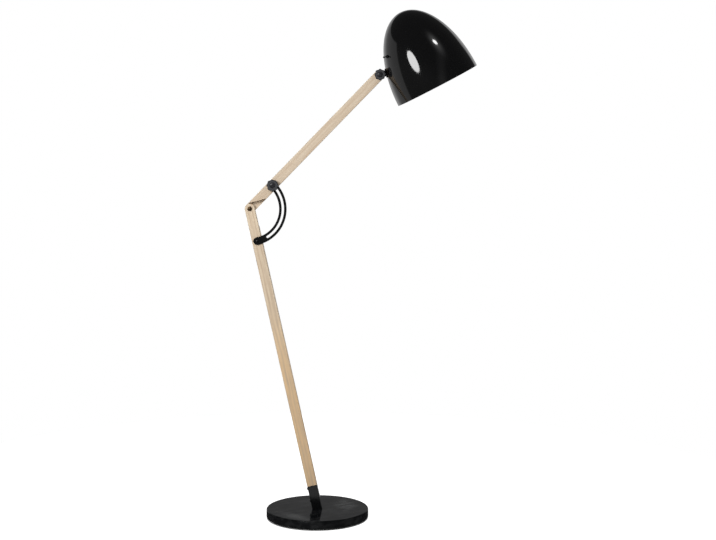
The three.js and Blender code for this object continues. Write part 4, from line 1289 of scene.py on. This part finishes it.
class LAMP_OT_clamps(LampOperator, bpy.types.Operator):
    """Make the bolts, washers, lobed knobs and inserts of the elbow clamp and of the tilt joint"""
    bl_idname = "lamp.clamps"
    bl_label = "Clamps and Knobs"

    def execute(self, context):
        far, face = -arms.width / 2 - SEAT, washer_face()
        joints = (("clamp", clamp.quadrant_radius, clamp.clamp_knob,
                   face + clamp.quadrant_thickness + SEAT),
                  ("tilt", arms.upper_length, clamp.tilt_knob, face))
        for name, along, width, seat in joints:
            axis = upper_place().near_side(along)
            outside, knob = axis.moved(0, 0, seat), f"{name} knob"
            add_piece(clamp_bolt(f"{name}_stud", seat), axis, "zinc", "upper arm", f"{name}_bolt")
            for end, top in (("far", far), ("near", seat - SEAT)):
                add_piece(washer(f"{name}_disc_{end}", CLAMP_BORE, 21, top - WASHER, top), axis,
                          "zinc", "upper arm", f"{name}_{end}_washer")
            add_piece(lobed_knob(f"{name}_grip", width), outside, "knob hub flank", knob,
                      f"{name}_knob")
            add_piece(washer(f"{name}_bush", CLAMP_BORE, 10, 0, 10), outside, "brass", knob,
                      f"{name}_knob_insert")
        axis, inner = upper_place().near_side(arms.upper_length), TONGUE / 2 + SEAT
        for end, low in (("near", inner), ("far", -inner - FRICTION)):
            add_piece(washer(f"tilt_friction_{end}", CLAMP_BORE, 20, low, low + FRICTION), axis,
                      "fibre", "upper arm", f"friction_washer_{end}")
        return {"FINISHED"}


class LAMP_OT_bracket(LampOperator, bpy.types.Operator):
    """Make the bracket between the tilt joint and the shade, with its two screws"""
    bl_idname = "lamp.bracket"
    bl_label = "Head Bracket"

    def execute(self, context):
        place = shade_place()
        add_piece(bracket_tongue(saddle(Mesh("shade_bracket"))), place, "steel", "head",
                  "head_bracket")
        radius, out, up = wall_point(head.bracket_height)
        for end, y in (("near", -8), ("far", 8)):
            at = place.moved(-radius, y, head.bracket_height)
            at = at.turned((up, 0, out), (0, 1, 0), (-out, 0, up))
            screw = button_screw(f"saddle_screw_{end}", width=5.6, height=1.2, shank=3,
                                 reach=10.3, key=2)
            add_piece(screw, at.moved(0, 0, 2.45), "steel", "head", f"bracket_screw_{end}")
            add_piece(nut(f"saddle_nut_{end}", width=5.5, bore=3.6, bottom=-7.06, height=2.4), at,
                      "zinc", "head", f"bracket_nut_{end}")
        return {"FINISHED"}


class LAMP_OT_shade(LampOperator, bpy.types.Operator):
    """Make the domed shade, black gloss outside and white inside"""
    bl_idname = "lamp.shade"
    bl_label = "Shade"

    def execute(self, context):
        add_piece(shade_shell(), shade_place(), "gloss inside", "head", "shade")
        return {"FINISHED"}


class LAMP_OT_holder(LampOperator, bpy.types.Operator):
    """Make the strap and the lamp holder inside the shade"""
    bl_idname = "lamp.holder"
    bl_label = "Lamp Holder"

    def execute(self, context):
        lock_nut = nut("nipple_nut", width=14, bore=10.6, bottom=head.strap_height + SEAT, height=3)
        for mesh, look, node in (
                (holder_strap(), "zinc", "holder_strap"), (holder_cap(), "holder", "holder_cap"),
                (holder_skirt(), "holder", "holder_skirt"),
                (holder_ring(), "holder", "holder_ring"), (lock_nut, "zinc", "holder_lock_nut")):
            add_piece(mesh, shade_place(), look, "head", node)
        dress("zinc", "holder_nipple")
        dress("ceramic", "holder_ceramic")
        dress("brass", "holder_screw_shell")
        return {"FINISHED"}


class LAMP_OT_bulb(LampOperator, bpy.types.Operator):
    """Make the opal bulb"""
    bl_idname = "lamp.bulb"
    bl_label = "Bulb"

    def execute(self, context):
        add_piece(bulb(), shade_place(), "opal", "head", "bulb_glass")
        dress("zinc", "bulb_cap")
        return {"FINISHED"}


class LAMP_OT_switch(LampOperator, bpy.types.Operator):
    """Make the toggle switch with its nut and lever, and the grommet of the mains lead"""
    bl_idname = "lamp.switch"
    bl_label = "Switch and Grommet"

    def execute(self, context):
        place = wall_place(head.switch_height, head.switch_azimuth)
        add_piece(switch_case(), place, "holder lever", "head", "switch_body")
        add_piece(nut("switch_ring_nut", width=9, bore=6.6, bottom=SEAT, height=2), place, "lever",
                  "head", "switch_nut")
        c, s = math.cos(head.lever_throw), math.sin(head.lever_throw)
        thrown = place.moved(0, 0, 3).turned((c, 0, -s), (0, 1, 0), (s, 0, c))
        add_piece(switch_lever(), thrown, "lever", "switch lever", "switch_lever")
        add_piece(grommet(), wall_place(head.grommet_height, -head.grommet_azimuth), "rubber",
                  "head", "lead_grommet")
        return {"FINISHED"}


# Studio, in metres

def area_light(name, place, target, width, height, radiance, turned=0.0, mirrored=True):
    """Elliptical lamp whose power is pi x area x radiance, so that its face has that brightness."""
    lamp = bpy.data.lights.new(name, "AREA")
    lamp.shape = "ELLIPSE"
    lamp.size, lamp.size_y = width, height
    lamp.energy = math.pi * (math.pi / 4 * width * height) * radiance
    item = bpy.data.objects.new(name, lamp)
    item.location = place
    facing = (Vector(target) - Vector(place)).to_track_quat("-Z", "Y").to_matrix()
    item.rotation_euler = (facing @ Matrix.Rotation(turned, 3, "Z")).to_euler()
    item.visible_camera = False
    item.visible_glossy = mirrored
    bpy.context.scene.collection.objects.link(item)


def studio_world():
    """White for the camera, a soft even light for matt surfaces, and a pale half room for gloss.

    The pale half lies behind the lamp. It ends to the right, and above a limit that rises as
    low + 0.3 y squared with the direction's depth y. In the dark half, gloss sees a glow around
    the high lamp, a power of the cosine of the angle to it, and a faint trail below it.
    """
    world = bpy.data.worlds.new("studio_world")
    w = Nodes(world)
    direction = w.add("ShaderNodeTexCoord").outputs["Generated"]
    x, y, z = w.apart(direction)
    limit = w.math("MULTIPLY_ADD", w.product(y, y), 0.3, 0.29)
    pale = w.product(
        w.eased(y, 0.6, 0.86, 0.66 * studio.backdrop, studio.backdrop),  # brightest at the back
        w.eased(w.math("ABSOLUTE", x), 0.06, 0.42, 0.42, 1),  # dimmer in the middle
        w.eased(y, -0.17, -0.07),  # its near edge
        w.eased(x, 0.54, 0.60, 1, 0),  # its right edge
        w.eased(w.math("SUBTRACT", z, limit), -0.03, 0.03, 1, 0))  # its upper edge
    to_high_lamp = (0.409, -0.494, 0.767)
    facing = w.add("ShaderNodeVectorMath", {0: direction, 1: to_high_lamp},
                   operation="DOT_PRODUCT").outputs["Value"]
    glow = w.math("POWER", w.math("MAXIMUM", facing, 0.0), 90.0)
    path = w.math("MULTIPLY_ADD", z, 0.5, 0.15)
    trail = w.product(
        w.eased(w.math("ABSOLUTE", w.math("SUBTRACT", x, path)), 0.0, 0.2, 1, 0),  # across it
        w.eased(z, 0.1, 0.4, 0.16, 0.1),  # brighter at its lower end
        w.eased(z, 0.6, 0.8, 1, 0),  # its upper end
        w.eased(y, -0.45, -0.3, 1, 0))  # only on the near side
    haze = w.total(w.product(glow, studio.glow), trail)
    front = w.eased(z, -0.05, 0.4, 1.7 * studio.front, studio.front)
    gloss = w.math("MAXIMUM", pale, w.total(front, haze))
    side = w.product(w.eased(x, 0.2, 0.8, 0, studio.side), w.eased(y, -0.3, 0.2, 0, 1))
    matt = w.total(w.eased(y, -0.5, 0.4, studio.ambient, 0.3 * studio.ambient), side)
    rays = w.add("ShaderNodeLightPath").outputs
    seen = w.math("MAXIMUM", rays["Is Camera Ray"], rays["Is Transmission Ray"])
    strength = w.either(seen, w.either(rays["Is Glossy Ray"], matt, gloss), 1.0)
    background = w.add("ShaderNodeBackground", {"Color": (1, 1, 1, 1), "Strength": strength})
    w.add("ShaderNodeOutputWorld", {"Surface": background.outputs[0]})
    bpy.context.scene.world = world


def floor_finish():
    """White floor, lit by the lamps and topped up to white for the camera.

    Gloss sees it pale behind the lamp and near the foot, and dark elsewhere.
    """
    f = Finish("studio_floor")
    rays = f.add("ShaderNodeLightPath").outputs
    away = f.size(f.stretch(f.here, (1, 0.97, 1)))
    depth = f.apart(f.here)[1]
    rim = foot.base_diameter / 2 * MM
    paper = f.add("ShaderNodeBsdfDiffuse", {"Color": f.spread(f.noise(30), 0.0, 1.0, 0.6, 0.62)})
    top_up = f.eased(away, rim - 3 * MM, rim + 1.5 * MM)
    lift = f.add("ShaderNodeEmission", {"Strength": f.product(top_up, rays["Is Camera Ray"])})
    lit = f.add("ShaderNodeAddShader", {0: paper.outputs[0], 1: lift.outputs[0]})
    behind = f.eased(depth, 0.1, 0.5, studio.front, 0.6 * studio.backdrop)
    near = f.product(f.eased(away, 0.42, 0.6, 0.75, 0.0), f.eased(depth, -0.14, -0.04, 1, 0))
    mirrored = f.add("ShaderNodeEmission", {"Strength": f.math("MAXIMUM", behind, near)})
    return f.output(f.add("ShaderNodeMixShader", {
        0: rays["Is Glossy Ray"], 1: lit.outputs[0], 2: mirrored.outputs[0]}))


def floor_disc():
    """Flat disc of rings of points around the foot, just below it."""
    rows = [(studio.floor_radius * share, -0.2) for share in (0, 0.02, 0.1, 0.3, 1)]
    Mesh("studio_floor").turned(rows, 128).finish(ROOM, [floor_finish()])


def studio_camera():
    """Camera that looks a little down on the lamp, from the photograph's side."""
    camera = bpy.data.cameras.new("camera")
    camera.sensor_fit = "HORIZONTAL"
    camera.sensor_width = 36
    camera.lens = 82.09
    camera.clip_end = 100
    item = bpy.data.objects.new("camera", camera)
    item.location = (0.1197, -4.700, 1.2833)
    item.rotation_euler = (math.radians(83.319), 0, 0)
    bpy.context.scene.collection.objects.link(item)
    bpy.context.scene.camera = item


class LAMP_OT_studio(LampOperator, bpy.types.Operator):
    """Make the floor, the background, the lights and the camera"""
    bl_idname = "lamp.studio"
    bl_label = "Studio"

    def execute(self, context):
        context.scene.view_settings.view_transform = "Standard"
        context.scene.cycles.use_light_tree = False  # with it, the arms come out grainy
        studio_world()
        floor_disc()
        area_light("key", (-1.173, -1.734, 1.664), (0.257, -0.097, 1.327), width=0.97,
                   height=0.78, radiance=studio.key_radiance, turned=math.radians(149))
        area_light("top", (1.15, -1.09, 2.92), (0.335, -0.101, 1.385), width=0.3, height=0.2,
                   radiance=studio.top_radiance)
        area_light("fill", (-0.6, -2.2, 1.9), (-0.15, 0, 0.9), width=1.3, height=1.3,
                   radiance=studio.fill_radiance, mirrored=False)
        studio_camera()
        return {"FINISHED"}


MAKING_ORDER = (
    LAMP_OT_studio, LAMP_OT_base, LAMP_OT_foot, LAMP_OT_arms, LAMP_OT_elbow, LAMP_OT_quadrant,
    LAMP_OT_clamps, LAMP_OT_bracket, LAMP_OT_shade, LAMP_OT_holder, LAMP_OT_bulb, LAMP_OT_switch,
)
GROUPS = {
    "lamp_foot": LampFootSizes, "lamp_arms": LampArmSizes, "lamp_clamp": LampClampSizes,
    "lamp_head": LampHeadSizes, "lamp_colours": LampColours, "lamp_studio": LampStudio,
}


class LAMP_PT_panel(bpy.types.Panel):
    """Lists the lamp's sizes, colours and pieces"""
    bl_idname = "LAMP_PT_panel"
    bl_label = "Floor Lamp"
    bl_space_type = "VIEW_3D"
    bl_region_type = "UI"
    bl_category = "Lamp"

    def draw(self, context):
        layout = self.layout
        for name, group in GROUPS.items():
            box = layout.box()
            box.label(text=name.replace("_", " ").capitalize())
            for key in group.__annotations__:
                box.prop(getattr(context.scene, name), key)
        for operator in MAKING_ORDER:
            layout.operator(operator.bl_idname)


CLASSES = (*GROUPS.values(), *MAKING_ORDER, LAMP_PT_panel)


def register():
    for item in CLASSES:
        bpy.utils.register_class(item)
    for name, group in GROUPS.items():
        setattr(bpy.types.Scene, name, PointerProperty(type=group))


def unregister():
    for name in GROUPS:
        delattr(bpy.types.Scene, name)
    for item in reversed(CLASSES):
        bpy.utils.unregister_class(item)


def main():
    register()
    for operator in MAKING_ORDER:
        group, name = operator.bl_idname.split(".")
        getattr(getattr(bpy.ops, group), name)()


if __name__ == "__main__":
    main()
